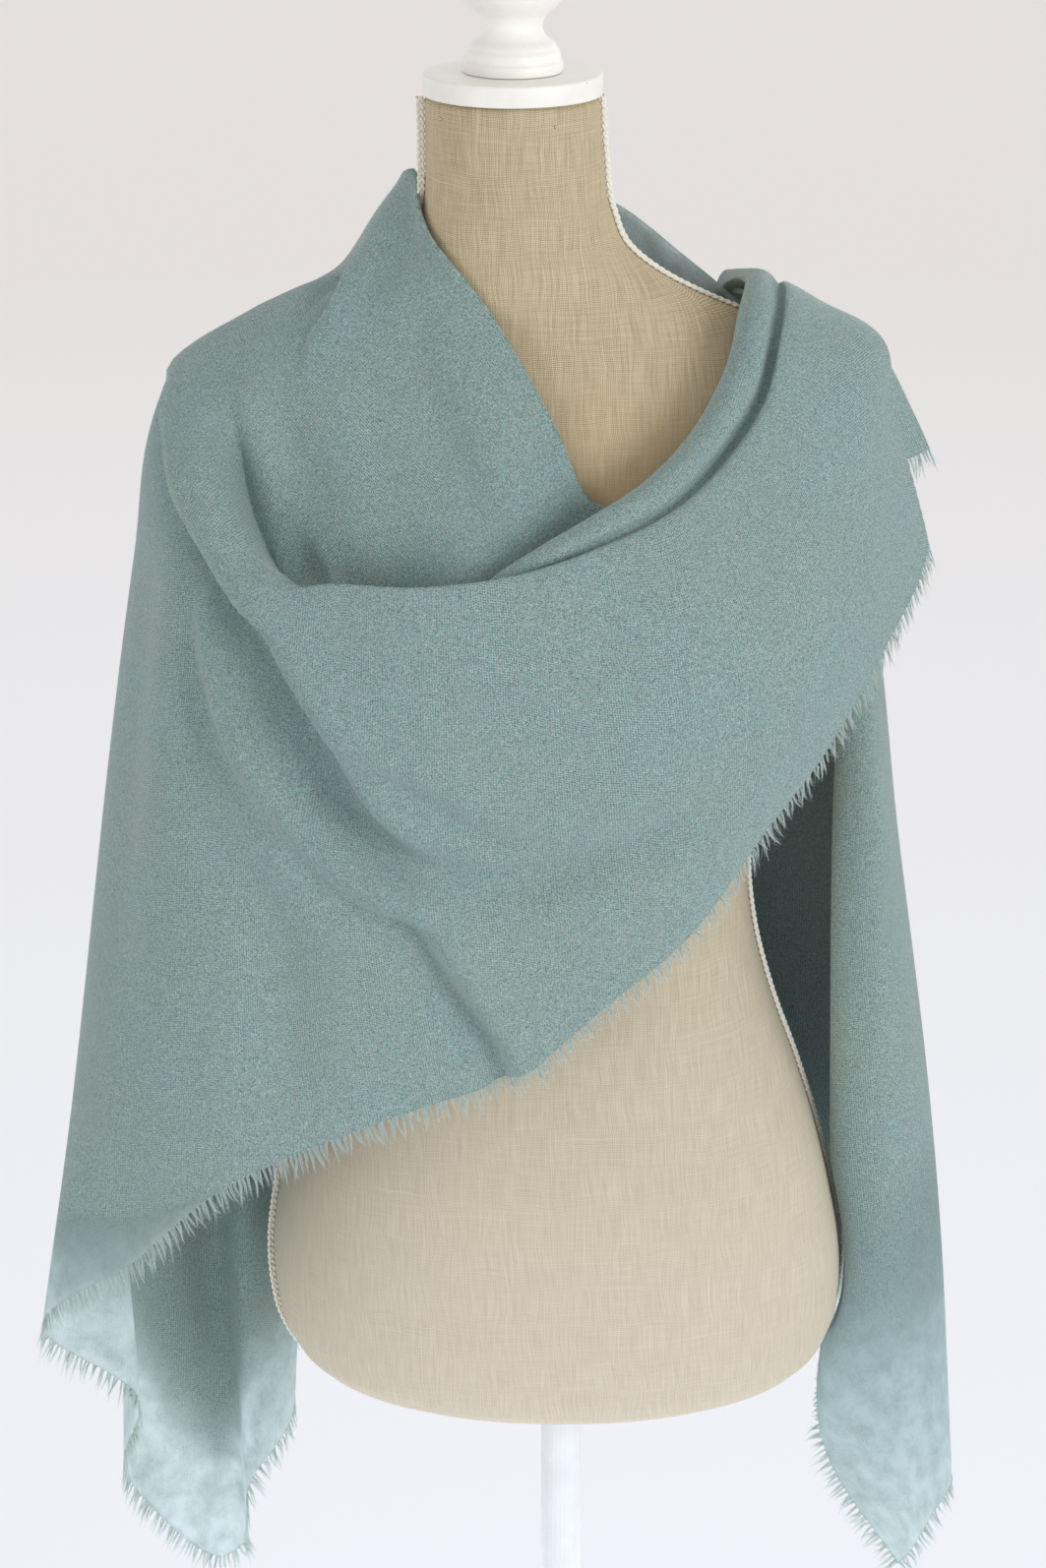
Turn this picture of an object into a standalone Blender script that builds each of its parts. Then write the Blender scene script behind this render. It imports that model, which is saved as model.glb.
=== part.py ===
"""Cashmere shawl on a limbless linen dress form with a turned cap, a pole and a round foot.

One frame: the floor is z = 0, the pole stands on the z axis and the form faces -Y.  The shawl is one
oblong of cloth.  Its free end hangs at +X from the back of the shoulder; from there the cloth crosses
the back, comes over the shoulder at -X, crosses the chest and is thrown over the shoulder at +X.
Tables are in millimetres and the model is in metres.
"""
import math

import bpy
import numpy as np
from mathutils import Vector
from mathutils.bvhtree import BVHTree

MM = 0.001
SEAM = 0.3            # air between neighbouring solids
WALL = 1.6            # thickness of the cloth

# ---------------------------------------------------------------- dress form
FORM_BOTTOM = 586
NECK_TOP = 1405
NECK_LEAN = -31       # how far the top of the neck stands to the side of the pole
NECK_FORWARD = -12    # and how far in front of it
NECK_START = 1150     # the height where the neck starts to come forward

# height, half width, front depth, back depth, squareness (2 is an ellipse)
FORM_RINGS = (
    (586, 100, 64, 64, 2.0),
    (588, 126, 80, 80, 2.1),
    (594, 147, 94, 94, 2.2),
    (606, 164, 105, 105, 2.3),
    (626, 176, 112, 112, 2.3),
    (652, 181, 116, 115, 2.3),
    (684, 181, 116, 115, 2.3),
    (717, 176, 114, 112, 2.3),
    (760, 167, 110, 105, 2.3),
    (803, 155, 104, 96, 2.2),
    (850, 140, 98, 86, 2.2),
    (895, 130, 94, 78, 2.2),
    (935, 127, 93, 75, 2.2),
    (975, 130, 97, 76, 2.2),
    (1020, 138, 105, 81, 2.2),
    (1065, 148, 112, 86, 2.2),
    (1105, 157, 114, 90, 2.2),
    (1150, 168, 108, 93, 2.2),
    (1195, 181, 95, 92, 2.2),
    (1230, 191, 82, 84, 2.2),
    (1252, 193, 72, 74, 2.1),
    (1266, 180, 64, 66, 2.0),
    (1278, 152, 58, 60, 2.0),
    (1290, 121, 55, 56, 2.0),
    (1304, 91, 54, 53, 2.0),
    (1322, 66, 53, 51, 2.0),
    (1346, 55, 52, 50, 2.0),
    (1380, 51.5, 51, 50, 2.0),
    (1414, 50.5, 51, 51, 2.0),
)
BUST = {"height": 1092, "rise": 52, "from_middle": 70, "width": 44, "depth": 26}
FORM_SIDES = 44
SMOOTH_SIDES = 96     # of the smooth form that the cloth is kept clear of
SMOOTH_STEPS = 4      # and its rings for each row of the table

# ---------------------------------------------------------------- turned wood: radius, height
CAP = ((48, 1414.3), (51.2, 1414.6), (52, 1415.4), (52, 1425.6), (51.2, 1426.5), (48, 1426.7))
KNOB = ((26.5, 1427), (28.7, 1427.4), (29, 1428.6), (29, 1433), (28, 1434.4), (27.8, 1437), (27.2, 1439.2),
        (26, 1440.8), (24.8, 1443), (19.8, 1447), (17.6, 1451), (17.5, 1455), (19.6, 1459), (24, 1463),
        (27.8, 1467), (30.4, 1471.5), (32.6, 1480), (32.8, 1489), (30.5, 1499), (25.5, 1508.5), (17.5, 1516),
        (9, 1520))
POLE = ((12, 24.3), (13, 25.5), (13, 584), (12.5, 585.7))
FOOT = ((150, 0), (166, 0.6), (170, 3), (170, 14), (167, 18), (160, 20.5), (60, 23), (34, 23.6), (20, 24))

# braid along each side seam: turn round the form in degrees, from its left-hand side at +X
BRAID_SEAMS = {"braid_left": 1, "braid_right": 184}
BRAID_WIDTH = 5.0
BRAID_THICK = 1.6
BRAID_START = 2       # the ring where it starts, counted from the bottom

# ---------------------------------------------------------------- shawl
# A row is a section of the cloth from its top edge to its hem, and a column is a rail along it.
RAILS = ("top", "under", "valley", "roll_back", "roll", "roll_front", "crease", "crest",
         "upper", "middle", "lower", "hem")

RIGHT_FALL = (       # from the free end, inside the fall, round its front to its outside
    ("end_a", (108, -28, 1274), (130, -35, 1256), (148, -42, 1225), (154, -41, 1203), (158, -38, 1180),
     (163, -33, 1153), (168, -28, 1125), (176, -15, 1060), (181, -5, 950), (189, 4, 720), (168, -12, 550),
     (222, -20, 447)),
    ("fall_front", (114, -25, 1277), (137, -32, 1264), (156, -41, 1233), (161, -45, 1212), (164, -47, 1190),
     (164, -46, 1160), (164, -44, 1130), (162, -38, 1060), (163, -32, 950), (185, -24, 710), (186, -30, 580),
     (229, -21, 455)),
    ("fall_panel", (116, -12, 1280), (140, -15, 1270), (163, -19, 1250), (169, -21, 1228), (172, -23, 1205),
     (175, -25, 1170), (178, -26, 1135), (184, -28, 1060), (190, -28, 960), (203, -26, 810), (217, -24, 630),
     (243, -14, 478)),
    ("fall_side", (114, 5, 1282), (141, 10, 1274), (166, 13, 1256), (172, 14, 1236), (175, 15, 1215),
     (178, 16, 1178), (181, 17, 1140), (194, 18, 1060), (207, 18, 960), (231, 16, 800), (247, 14, 660),
     (258, 6, 503)),
)
BACK = (
    ("back_corner", (106, 30, 1280), (122, 46, 1264), (136, 60, 1235), (142, 66, 1213), (148, 72, 1190),
     (151, 76, 1163), (154, 80, 1135), (163, 84, 1065), (174, 86, 970), (190, 90, 830), (202, 92, 690),
     (208, 84, 540)),
    ("back_side", (74, 45, 1304), (80, 64, 1278), (90, 80, 1240), (94, 86, 1218), (98, 92, 1195),
     (102, 96, 1168), (105, 100, 1140), (110, 104, 1075), (116, 107, 985), (124, 112, 860), (132, 118, 710),
     (140, 122, 566)),
    ("back_near", (26, 42, 1341), (30, 66, 1298), (35, 84, 1250), (38, 90, 1225), (40, 96, 1200),
     (43, 100, 1170), (45, 103, 1140), (50, 107, 1075), (55, 111, 985), (60, 117, 860), (66, 126, 710),
     (72, 132, 578)),
    ("back_middle", (-28, 51, 1350), (-28, 74, 1303), (-26, 90, 1255), (-25, 95, 1228), (-23, 100, 1200),
     (-21, 103, 1170), (-19, 106, 1140), (-15, 110, 1075), (-11, 114, 985), (-8, 120, 860), (-5, 128, 710),
     (-2, 133, 584)),
    ("back_far", (-62, 47, 1353), (-66, 68, 1310), (-72, 86, 1262), (-75, 92, 1234), (-78, 98, 1205),
     (-81, 102, 1173), (-84, 106, 1140), (-88, 112, 1070), (-94, 116, 980), (-100, 122, 860), (-105, 129, 720),
     (-110, 131, 580)),
)
LEFT_FALL = (        # the hem turns to and fro here, a row for each turn
    ("behind_hip", (-72, 43, 1355), (-79, 65, 1314), (-88, 82, 1268), (-93, 88, 1241), (-98, 94, 1214),
     (-104, 99, 1182), (-109, 103, 1150), (-119, 111, 1080), (-128, 117, 985), (-138, 123, 860),
     (-152, 124, 710), (-176, 106, 560)),
    ("hip", (-80, 38, 1356), (-90, 60, 1318), (-104, 76, 1274), (-111, 82, 1248), (-118, 88, 1222),
     (-125, 93, 1191), (-132, 98, 1160), (-146, 108, 1090), (-156, 116, 990), (-165, 117, 860),
     (-178, 98, 700), (-180, 60, 514)),
    ("ridge", (-88, 33, 1359), (-100, 52, 1326), (-120, 66, 1288), (-130, 71, 1267), (-140, 76, 1245),
     (-151, 81, 1218), (-162, 86, 1190), (-182, 94, 1115), (-194, 96, 1010), (-202, 90, 880),
     (-206, 58, 690), (-208, 30, 478)),
    ("trough", (-92, 27, 1361), (-106, 42, 1332), (-128, 52, 1298), (-141, 55, 1283), (-154, 58, 1266),
     (-169, 62, 1245), (-184, 66, 1222), (-208, 72, 1150), (-222, 76, 1040), (-230, 78, 900),
     (-238, 68, 690), (-223, 44, 420)),
    ("turn_back", (-94, 20, 1362), (-110, 30, 1337), (-132, 36, 1304), (-146, 37, 1293), (-160, 38, 1282),
     (-178, 40, 1269), (-196, 42, 1252), (-228, 44, 1198), (-246, 44, 1090), (-258, 40, 950),
     (-278, 27, 750), (-288, 8, 498)),
    ("turn_front", (-93, 12, 1364), (-110, 14, 1342), (-132, 14, 1309), (-146, 14, 1300), (-160, 14, 1293),
     (-176, 15, 1284), (-192, 16, 1274), (-236, 16, 1234), (-255, 14, 1130), (-271, 8, 990),
     (-284, -10, 790), (-273, -40, 584)),
)
FRONT = (
    ("left_side", (-89, 4, 1366), (-108, -3, 1343), (-130, -10, 1310), (-142, -10, 1303), (-155, -10, 1298),
     (-169, -10, 1292), (-183, -10, 1285), (-236, -12, 1250), (-256, -20, 1143), (-276, -30, 1013),
     (-303, -50, 808), (-327, -70, 645)),
    ("left_front", (-80, -22, 1350), (-105, -40, 1308), (-148, -55, 1272), (-162, -60, 1261),
     (-175, -65, 1250), (-187, -69, 1239), (-198, -73, 1227), (-223, -84, 1192), (-233, -88, 1108),
     (-247, -97, 983), (-257, -105, 847), (-264, -110, 715)),
    ("rim", (-67, -42, 1329), (-92, -72, 1276), (-135, -90, 1198), (-146, -93, 1183), (-155, -96, 1168),
     (-162, -100, 1160), (-168, -106, 1153), (-184, -124, 1147), (-191, -128, 1078), (-197, -132, 984),
     (-202, -135, 873), (-207, -135, 776)),
    ("pocket_left", (-47, -62, 1301), (-76, -95, 1235), (-108, -118, 1122), (-114, -126, 1126),
     (-121, -131, 1137), (-126, -135, 1146), (-130, -140, 1154), (-134, -151, 1162), (-141, -157, 1088),
     (-143, -153, 992), (-142, -150, 892), (-137, -148, 816)),
    ("pocket_low", (-26, -80, 1270), (-45, -112, 1210), (-68, -138, 1114), (-73, -146, 1118),
     (-78, -150, 1130), (-81, -153, 1142), (-83, -157, 1153), (-84, -167, 1161), (-87, -175, 1093),
     (-91, -167, 1002), (-86, -158, 913), (-78, -150, 840)),
    ("kink", (-6, -95, 1236), (-15, -112, 1195), (-26, -130, 1128), (-32, -136, 1142), (-37, -143, 1168),
     (-35, -151, 1166), (-34, -152, 1157), (-31, -166, 1169), (-31, -177, 1106), (-34, -169, 1016),
     (-33, -160, 928), (-28, -152, 859)),
    ("v_bottom", (16, -102, 1194), (17, -112, 1168), (15, -122, 1139), (11, -130, 1160), (8, -137, 1192),
     (15, -151, 1191), (16, -146, 1181), (17, -159, 1181), (24, -175, 1119), (27, -170, 1035),
     (27, -161, 965), (23, -152, 903)),
    ("right_low", (53, -93, 1200), (59, -103, 1184), (63, -110, 1170), (54, -113, 1192), (45, -122, 1215),
     (55, -139, 1208), (57, -134, 1199), (58, -146, 1200), (75, -168, 1140), (82, -163, 1062),
     (80, -156, 1000), (73, -147, 947)),
    ("right_mid", (83, -78, 1230), (90, -88, 1213), (98, -96, 1196), (86, -95, 1217), (72, -101, 1240),
     (86, -119, 1234), (88, -113, 1223), (89, -125, 1224), (113, -148, 1162), (126, -148, 1104),
     (125, -141, 1054), (116, -133, 1006)),
    ("right_high", (100, -57, 1263), (110, -70, 1247), (120, -80, 1230), (108, -76, 1250), (91, -79, 1271),
     (106, -98, 1263), (111, -92, 1252), (112, -104, 1254), (139, -126, 1197), (153, -129, 1146),
     (157, -124, 1102), (151, -116, 1049)),
)
THROWN_END = (       # over the shoulder and down behind it
    ("shoulder_front", (108, -35, 1283), (118, -46, 1274), (129, -57, 1263), (117, -49, 1279),
     (99, -47, 1294), (115, -67, 1291), (121, -62, 1282), (122, -73, 1285), (156, -91, 1242),
     (174, -98, 1189), (184, -95, 1141), (186, -90, 1104)),
    ("shoulder_top", (108, -5, 1291), (122, -8, 1286), (135, -12, 1284), (120, -8, 1294), (105, -6, 1303),
     (118, -12, 1309), (126, -11, 1300), (130, -15, 1303), (183, -28, 1275), (191, -33, 1237),
     (204, -36, 1193), (214, -36, 1151)),
    ("shoulder_back", (104, 30, 1290), (118, 34, 1283), (132, 38, 1277), (114, 38, 1290), (95, 40, 1294),
     (106, 44, 1300), (121, 42, 1291), (134, 42, 1288), (176, 25, 1264), (186, 14, 1236), (192, 10, 1200),
     (196, 10, 1162)),
    ("corner_b", (98, 52, 1283), (112, 58, 1274), (126, 63, 1264), (111, 63, 1281), (95, 59, 1287),
     (98, 62, 1295), (116, 66, 1286), (137, 70, 1277), (187, 52, 1260), (203, 54, 1237), (214, 51, 1210),
     (222, 47, 1188)),
)
ROWS = RIGHT_FALL + BACK + LEFT_FALL + FRONT + THROWN_END
SECTIONS = [row[0] for row in ROWS]

# how near the cloth's middle comes to the form: its first layer, the turned-in layer and the outer one
FIRST_LAYER, SECOND_LAYER, OUTER_LAYER = 4.4, 9.5, 15.5
CHEST_START = 0.5     # the second layer sets in this far past left_front
CHEST_SPAN = 1.5      # and is whole this many sections further on
SHAPE_SOFTENING = 3   # rounds of softening before the folds are raised
FOLD_SOFTENING = 4    # and after it

# soft folds: the places they run through as (section, sections past it, rail), half width, height
FOLDS = (
    ("tension", (("left_front", 0.0, 7.3), ("rim", 0.0, 7.2), ("rim", 0.6, 7.8), ("pocket_left", 0.4, 8.5),
                 ("pocket_low", 0.1, 9.2), ("pocket_low", 0.7, 10.1), ("kink", 0.0, 11.0)), 14, 10),
    ("beside_tension", (("left_front", 0.7, 8.0), ("rim", 0.5, 8.6), ("pocket_left", 0.1, 9.2),
                        ("pocket_left", 0.7, 10.0), ("pocket_low", 0.5, 11.0)), 20, -8),
    ("side_ridge", (("left_front", 0.4, 7.6), ("left_front", 0.8, 8.2), ("rim", 0.3, 8.7),
                    ("rim", 0.8, 9.2)), 13, 4),
    ("under_bust", (("pocket_low", 0.3, 9.1), ("kink", 0.0, 9.2), ("v_bottom", 0.0, 9.3),
                    ("right_low", 0.2, 9.2)), 24, -8),
    ("side_hollow", (("left_side", 0.6, 7.6), ("left_side", 0.6, 8.6), ("left_side", 0.7, 10.0)), 18, -4),
    ("back_hollow", (("back_near", 0.3, 5.5), ("back_near", 0.4, 8.0), ("back_near", 0.5, 11.0)), 26, -9),
    ("back_ridge", (("back_middle", 0.4, 6.0), ("back_middle", 0.5, 8.5), ("back_middle", 0.5, 11.0)), 22, 8),
    ("back_sweep", (("back_side", 0.4, 1.5), ("back_near", 0.2, 2.2), ("back_middle", 0.2, 2.6),
                    ("back_far", 0.3, 2.0)), 18, -6),
)

# steps of the fine net between neighbouring rails and between neighbouring sections
RAIL_STEPS = (8, 8, 6, 6, 5, 4, 4, 12, 16, 20, 20)
SECTION_STEPS = 12
# and of the coarse net that the solids are made from
RAIL_CUTS = (2, 2, 2, 2, 2, 1, 2, 3, 4, 4, 4)
SECTION_CUTS = 3

FRINGE_REACH = 12
FRINGE_THICK = 1.0
FRINGE_DROOP = 0.3
FRINGE_CORNER = 2     # coarse steps left free where two fringed edges meet

SHARP_EDGE = 40       # degrees between faces that keep a sharp edge
COLOURS = {           # base colour and roughness
    "linen": ((0.60, 0.52, 0.38), 0.95),
    "painted_wood": ((0.86, 0.84, 0.80), 0.45),
    "braid": ((0.82, 0.78, 0.70), 0.9),
    "cashmere": ((0.29, 0.40, 0.38), 0.95),
    "fringe": ((0.36, 0.47, 0.46), 0.95),
}


# ---------------------------------------------------------------- curves and nets
def hermite(knots, values, steps):
    """Smooth curve through rows of values, with a number of steps for each span."""
    span = np.diff(knots)
    slope = np.diff(values, axis=0) / span.reshape((-1,) + (1,) * (values.ndim - 1))
    tangent = np.empty_like(values)
    tangent[0], tangent[-1] = slope[0], slope[-1]
    for i in range(1, len(values) - 1):
        tangent[i] = (slope[i - 1] * span[i] + slope[i] * span[i - 1]) / (span[i - 1] + span[i])
    curve = []
    for i, count in enumerate(steps):
        for t in np.arange(count) / count:
            start = (2 * t ** 3 - 3 * t ** 2 + 1) * values[i] + (t ** 3 - 2 * t ** 2 + t) * span[i] * tangent[i]
            end = (3 * t ** 2 - 2 * t ** 3) * values[i + 1] + (t ** 3 - t ** 2) * span[i] * tangent[i + 1]
            curve.append(start + end)
    curve.append(values[-1])
    return np.array(curve)


def knots_of(values):
    """Knots spaced by the square root of the mean distance between neighbouring rows."""
    gaps = np.linalg.norm(np.diff(values, axis=0), axis=2).mean(axis=1)
    return np.concatenate(([0.0], np.cumsum(np.sqrt(gaps))))


def unit(vectors):
    return vectors / np.maximum(np.linalg.norm(vectors, axis=-1, keepdims=True), 1e-12)


def net_way(net, axis):
    """Direction of the net along one of its axes at each point, halfway between its two steps there."""
    steps = unit(np.diff(net, axis=axis))
    first = np.take(steps, [0], axis=axis)
    last = np.take(steps, [-1], axis=axis)
    return unit(np.concatenate((first, steps), axis=axis) + np.concatenate((steps, last), axis=axis))


def net_normals(net):
    """Normals of a net of points, pointing out of the garment."""
    return unit(np.cross(net_way(net, 1), net_way(net, 0)))


def relax(net, times, edges=False):
    """Softens a net, and its top and bottom edges along their own run if edges is set."""
    for _ in range(times):
        soft = net.copy()
        around = (net[:-2, 1:-1] + net[2:, 1:-1] + net[1:-1, :-2] + net[1:-1, 2:]) / 4
        soft[1:-1, 1:-1] = (net[1:-1, 1:-1] + around) / 2
        if edges:
            for j in (0, -1):
                soft[1:-1, j] = (2 * net[1:-1, j] + net[:-2, j] + net[2:, j]) / 4
        net = soft
    return net


# ---------------------------------------------------------------- the form's shape
def lean_at(height):
    """Middle of the form at a height, which leans to the side and comes forward at the neck."""
    up = (height - FORM_BOTTOM) / (NECK_TOP - FORM_BOTTOM)
    forward = max(0.0, (height - NECK_START) / (NECK_TOP - NECK_START))
    return NECK_LEAN * up, NECK_FORWARD * forward


def form_point(ring, turn):
    """Point of the form on a ring, at a turn in radians from +X."""
    height, half, front, back, square = ring
    across, deep = math.cos(turn), math.sin(turn)
    x = half * math.copysign(abs(across) ** (2 / square), across)
    y = (back if deep > 0 else front) * math.copysign(abs(deep) ** (2 / square), deep)
    if deep < 0:
        rise = math.exp(-((height - BUST["height"]) / BUST["rise"]) ** 2)
        cups = sum(math.exp(-((x + side * BUST["from_middle"]) / BUST["width"]) ** 2) for side in (-1, 1))
        y -= BUST["depth"] * rise * cups * min(1.0, -deep * 1.6)
    middle_x, middle_y = lean_at(height)
    return ((middle_x + x) * MM, (middle_y + y) * MM, height * MM)


def form_rings(sides, steps=1):
    """Rings of points round the form, with extra rings between the table's rows."""
    rows = np.array(FORM_RINGS, dtype=float)
    if steps > 1:
        rows = hermite(rows[:, 0], rows, [steps] * (len(rows) - 1))
    return [[form_point(row, 2 * math.pi * k / sides) for k in range(sides)] for row in rows]


def skin_rings(rings):
    """Vertices and faces of a closed body through rings, from the bottom up."""
    sides = len(rings[0])
    verts = [point for ring in rings for point in ring]
    faces = []
    for low in range(0, (len(rings) - 1) * sides, sides):
        for k in range(sides):
            turn = (k + 1) % sides
            faces.append((low + k, low + turn, low + sides + turn, low + sides + k))
    last = (len(rings) - 1) * sides
    verts += [tuple(np.mean(rings[0], axis=0)), tuple(np.mean(rings[-1], axis=0))]
    for k in range(sides):
        turn = (k + 1) % sides
        faces.append((len(verts) - 2, turn, k))
        faces.append((len(verts) - 1, last + k, last + turn))
    return verts, faces


def turned(profile, sides, middle=(0.0, 0.0)):
    """Body turned round an upright axis through middle."""
    turns = [2 * math.pi * k / sides for k in range(sides)]
    rings = []
    for radius, height in profile:
        around = [(middle[0] + radius * math.cos(a), middle[1] + radius * math.sin(a)) for a in turns]
        rings.append([(x * MM, y * MM, height * MM) for x, y in around])
    return skin_rings(rings)


def braid(turn):
    """Flat braid that stands just off the form, up one side and over the shoulder to the cap."""
    aside = math.radians(1)
    rows = FORM_RINGS[BRAID_START:]
    path = np.array([form_point(ring, turn) for ring in rows])
    across = unit(np.array([form_point(ring, turn + aside) for ring in rows]) - path)
    along = unit(np.gradient(path, axis=0))
    out = unit(np.cross(across, along))
    half, low, high = BRAID_WIDTH / 2 * MM, SEAM * MM, (SEAM + BRAID_THICK) * MM
    path[-1] -= along[-1] * SEAM * MM
    rings = []
    for side, height in ((-half, low), (-half, high), (half, high), (half, low)):
        rings.append(path + across * side + out * height)
    return skin_rings([[tuple(p) for p in ring] for ring in np.swapaxes(np.array(rings), 0, 1)])


# ---------------------------------------------------------------- the shawl's shape
def place(section, past=0.0):
    """Position of a named section along the cloth."""
    return SECTIONS.index(section) + past


def push_off(net, tree, gaps):
    """Moves each point that is nearer the form than its gap straight out to it."""
    clear = net.copy()
    for i, j in np.ndindex(gaps.shape):
        point = Vector(net[i, j])
        at, normal, _, distance = tree.find_nearest(point, 0.1)
        if at is None:
            continue
        height = distance if (point - at).dot(normal) >= 0 else -distance
        if height < gaps[i, j]:
            clear[i, j] = at + normal * gaps[i, j]
    return clear


def layer_gaps(sections, rails):
    """Least distance from the form at each point of the net, in metres."""
    on_chest = np.clip((sections - place("left_front", CHEST_START)) / CHEST_SPAN, 0, 1)[:, None]
    on_end = np.clip(sections - place("right_low"), 0, 1)[:, None]
    outer = np.clip(rails - RAILS.index("valley"), 0, 1)[None, :]
    chest = FIRST_LAYER + (OUTER_LAYER - FIRST_LAYER) * on_chest * outer
    end = FIRST_LAYER + (SECOND_LAYER - FIRST_LAYER) * on_end
    end = end + (OUTER_LAYER - SECOND_LAYER) * on_end * outer
    return np.maximum(chest, end) * MM


def net_at(net, sections, rails, section, rail):
    """Point of the net at a position along and across it."""
    i = min(int(np.searchsorted(sections, section, "right")) - 1, len(sections) - 2)
    j = min(int(np.searchsorted(rails, rail, "right")) - 1, len(rails) - 2)
    a = (section - sections[i]) / (sections[i + 1] - sections[i])
    b = (rail - rails[j]) / (rails[j + 1] - rails[j])
    near = net[i, j] * (1 - b) + net[i, j + 1] * b
    far = net[i + 1, j] * (1 - b) + net[i + 1, j + 1] * b
    return near * (1 - a) + far * a


def add_folds(net, sections, rails):
    """Raises or sinks the cloth along each fold, where the cloth runs beside that fold."""
    normals = net_normals(net)
    lift = np.zeros(net.shape[:2])
    for _, places, half_width, height in FOLDS:
        stops = np.array([(place(section, past), rail) for section, past, rail in places])
        run = hermite(np.arange(len(stops)), stops, [12] * (len(stops) - 1))
        points = np.array([net_at(net, sections, rails, s, r) for s, r in run])
        ends = np.minimum(np.arange(len(run)), np.arange(len(run))[::-1]) / (len(run) - 1)
        strength = np.minimum(1.0, 0.25 + 4 * ends)
        if run[-1, 1] >= len(RAILS) - 1:
            strength[len(run) // 2:] = 1.0
        near_s = (sections > run[:, 0].min() - 1.2) & (sections < run[:, 0].max() + 1.2)
        near_r = (rails > run[:, 1].min() - 1.0) & (rails < run[:, 1].max() + 1.0)
        box = np.ix_(near_s, near_r)
        distance = np.linalg.norm(net[box][:, :, None] - points, axis=3)
        push = strength * np.exp(-(distance / (half_width * MM)) ** 2)
        lift[box] += height * MM * push.max(axis=2)
    return net + normals * lift[:, :, None]


def shawl_net(tree):
    """The cloth's middle surface as a fine net, with the place of each of its rows and columns."""
    table = np.array([row[1:] for row in ROWS], dtype=float) * MM
    by_rail = np.swapaxes(table, 0, 1)
    by_section = np.swapaxes(hermite(knots_of(by_rail), by_rail, RAIL_STEPS), 0, 1)
    net = hermite(knots_of(by_section), by_section, [SECTION_STEPS] * (len(ROWS) - 1))
    sections = np.arange(len(net)) / SECTION_STEPS
    rails = [rail + k / count for rail, count in enumerate(RAIL_STEPS) for k in range(count)]
    rails = np.array(rails + [len(RAIL_STEPS)])
    gaps = layer_gaps(sections, rails)
    net = push_off(relax(net, SHAPE_SOFTENING), tree, gaps)
    net = add_folds(net, sections, rails)
    net = push_off(relax(net, FOLD_SOFTENING, edges=True), tree, gaps)
    return net, sections, rails


# ---------------------------------------------------------------- solids
def halves_of(verts, a, b, c, d):
    """A four-sided face as two triangles, cut along its shorter diagonal."""
    if np.linalg.norm(verts[a] - verts[c]) < np.linalg.norm(verts[b] - verts[d]):
        return (a, b, c), (a, c, d)
    return (a, b, d), (b, c, d)


def wall(net, normals, thickness):
    """Closed wall of even thickness about a net of points."""
    across = net.shape[1]
    middle = net.reshape(-1, 3)
    shift = normals.reshape(-1, 3) * thickness * MM / 2
    verts = np.concatenate((middle + shift, middle - shift))
    inner = len(middle)
    faces = []
    for i, j in np.ndindex(net.shape[0] - 1, across - 1):
        a = i * across + j
        for half in halves_of(middle, a, a + across, a + across + 1, a + 1):
            faces.append(half[::-1])
            faces.append(tuple(inner + k for k in half))
    last = inner - across
    border = list(range(0, last, across)) + list(range(last, inner - 1))
    border += list(range(inner - 1, across - 1, -across)) + list(range(across - 1, 0, -1))
    for a, b in zip(border, border[1:] + border[:1]):
        faces.extend(halves_of(verts, a, b, inner + b, inner + a))
    return [tuple(v) for v in verts], faces


def fringe_wall(edge, inside, facing, squareness):
    """Strip of fringe beyond an edge of the cloth, which droops at its tips."""
    along = unit(np.gradient(edge, axis=0))
    away = unit(edge - inside)
    square = unit(away - along * np.sum(away * along, axis=1, keepdims=True))
    way = unit(away * (1 - squareness) + square * squareness)
    droop = unit(way + np.array((0.0, 0.0, -FRINGE_DROOP)))
    steps = ((SEAM, way), (FRINGE_REACH / 2, way), (FRINGE_REACH, droop))
    strip = np.stack([edge + way * reach * MM for reach, way in steps], axis=1)
    normals = np.repeat(facing[:, None], len(steps), axis=1)
    if np.sum(net_normals(strip) * normals) < 0:
        strip, normals = strip[::-1], normals[::-1]
    return wall(strip, normals, FRINGE_THICK)


# ---------------------------------------------------------------- scene
def material(name):
    """Material of a finish, made once."""
    found = bpy.data.materials.get(name)
    if found:
        return found
    colour, roughness = COLOURS[name]
    made = bpy.data.materials.new(name)
    made.use_nodes = True
    surface = made.node_tree.nodes["Principled BSDF"]
    surface.inputs["Base Color"].default_value = (*colour, 1.0)
    surface.inputs["Roughness"].default_value = roughness
    made.diffuse_color = (*colour, 1.0)
    return made


def add_object(name, body, finish):
    """Object with the given vertices and faces, shaded smooth but for its sharp edges."""
    verts, faces = body
    mesh = bpy.data.meshes.new(name)
    mesh.from_pydata(verts, [], faces)
    mesh.materials.append(material(finish))
    mesh.shade_smooth()
    mesh.set_sharp_from_angle(angle=math.radians(SHARP_EDGE))
    made = bpy.data.objects.new(name, mesh)
    bpy.context.scene.collection.objects.link(made)
    return made


def build_stand():
    middle = lean_at(NECK_TOP)
    add_object("foot", turned(FOOT, 48), "painted_wood")
    add_object("pole", turned(POLE, 28), "painted_wood")
    add_object("torso", skin_rings(form_rings(FORM_SIDES)), "linen")
    add_object("neck_cap", turned(CAP, 40, middle), "painted_wood")
    add_object("knob", turned(KNOB, 32, middle), "painted_wood")
    for name, degrees in BRAID_SEAMS.items():
        add_object(name, braid(math.radians(degrees)), "braid")


def coarse_steps(counts, cuts):
    """Indices of the fine net's rows that the solids use."""
    picked, start = [], 0
    for count, cut in zip(counts, cuts):
        picked += [start + round(count * k / cut) for k in range(cut)]
        start += count
    return picked + [start]


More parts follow.
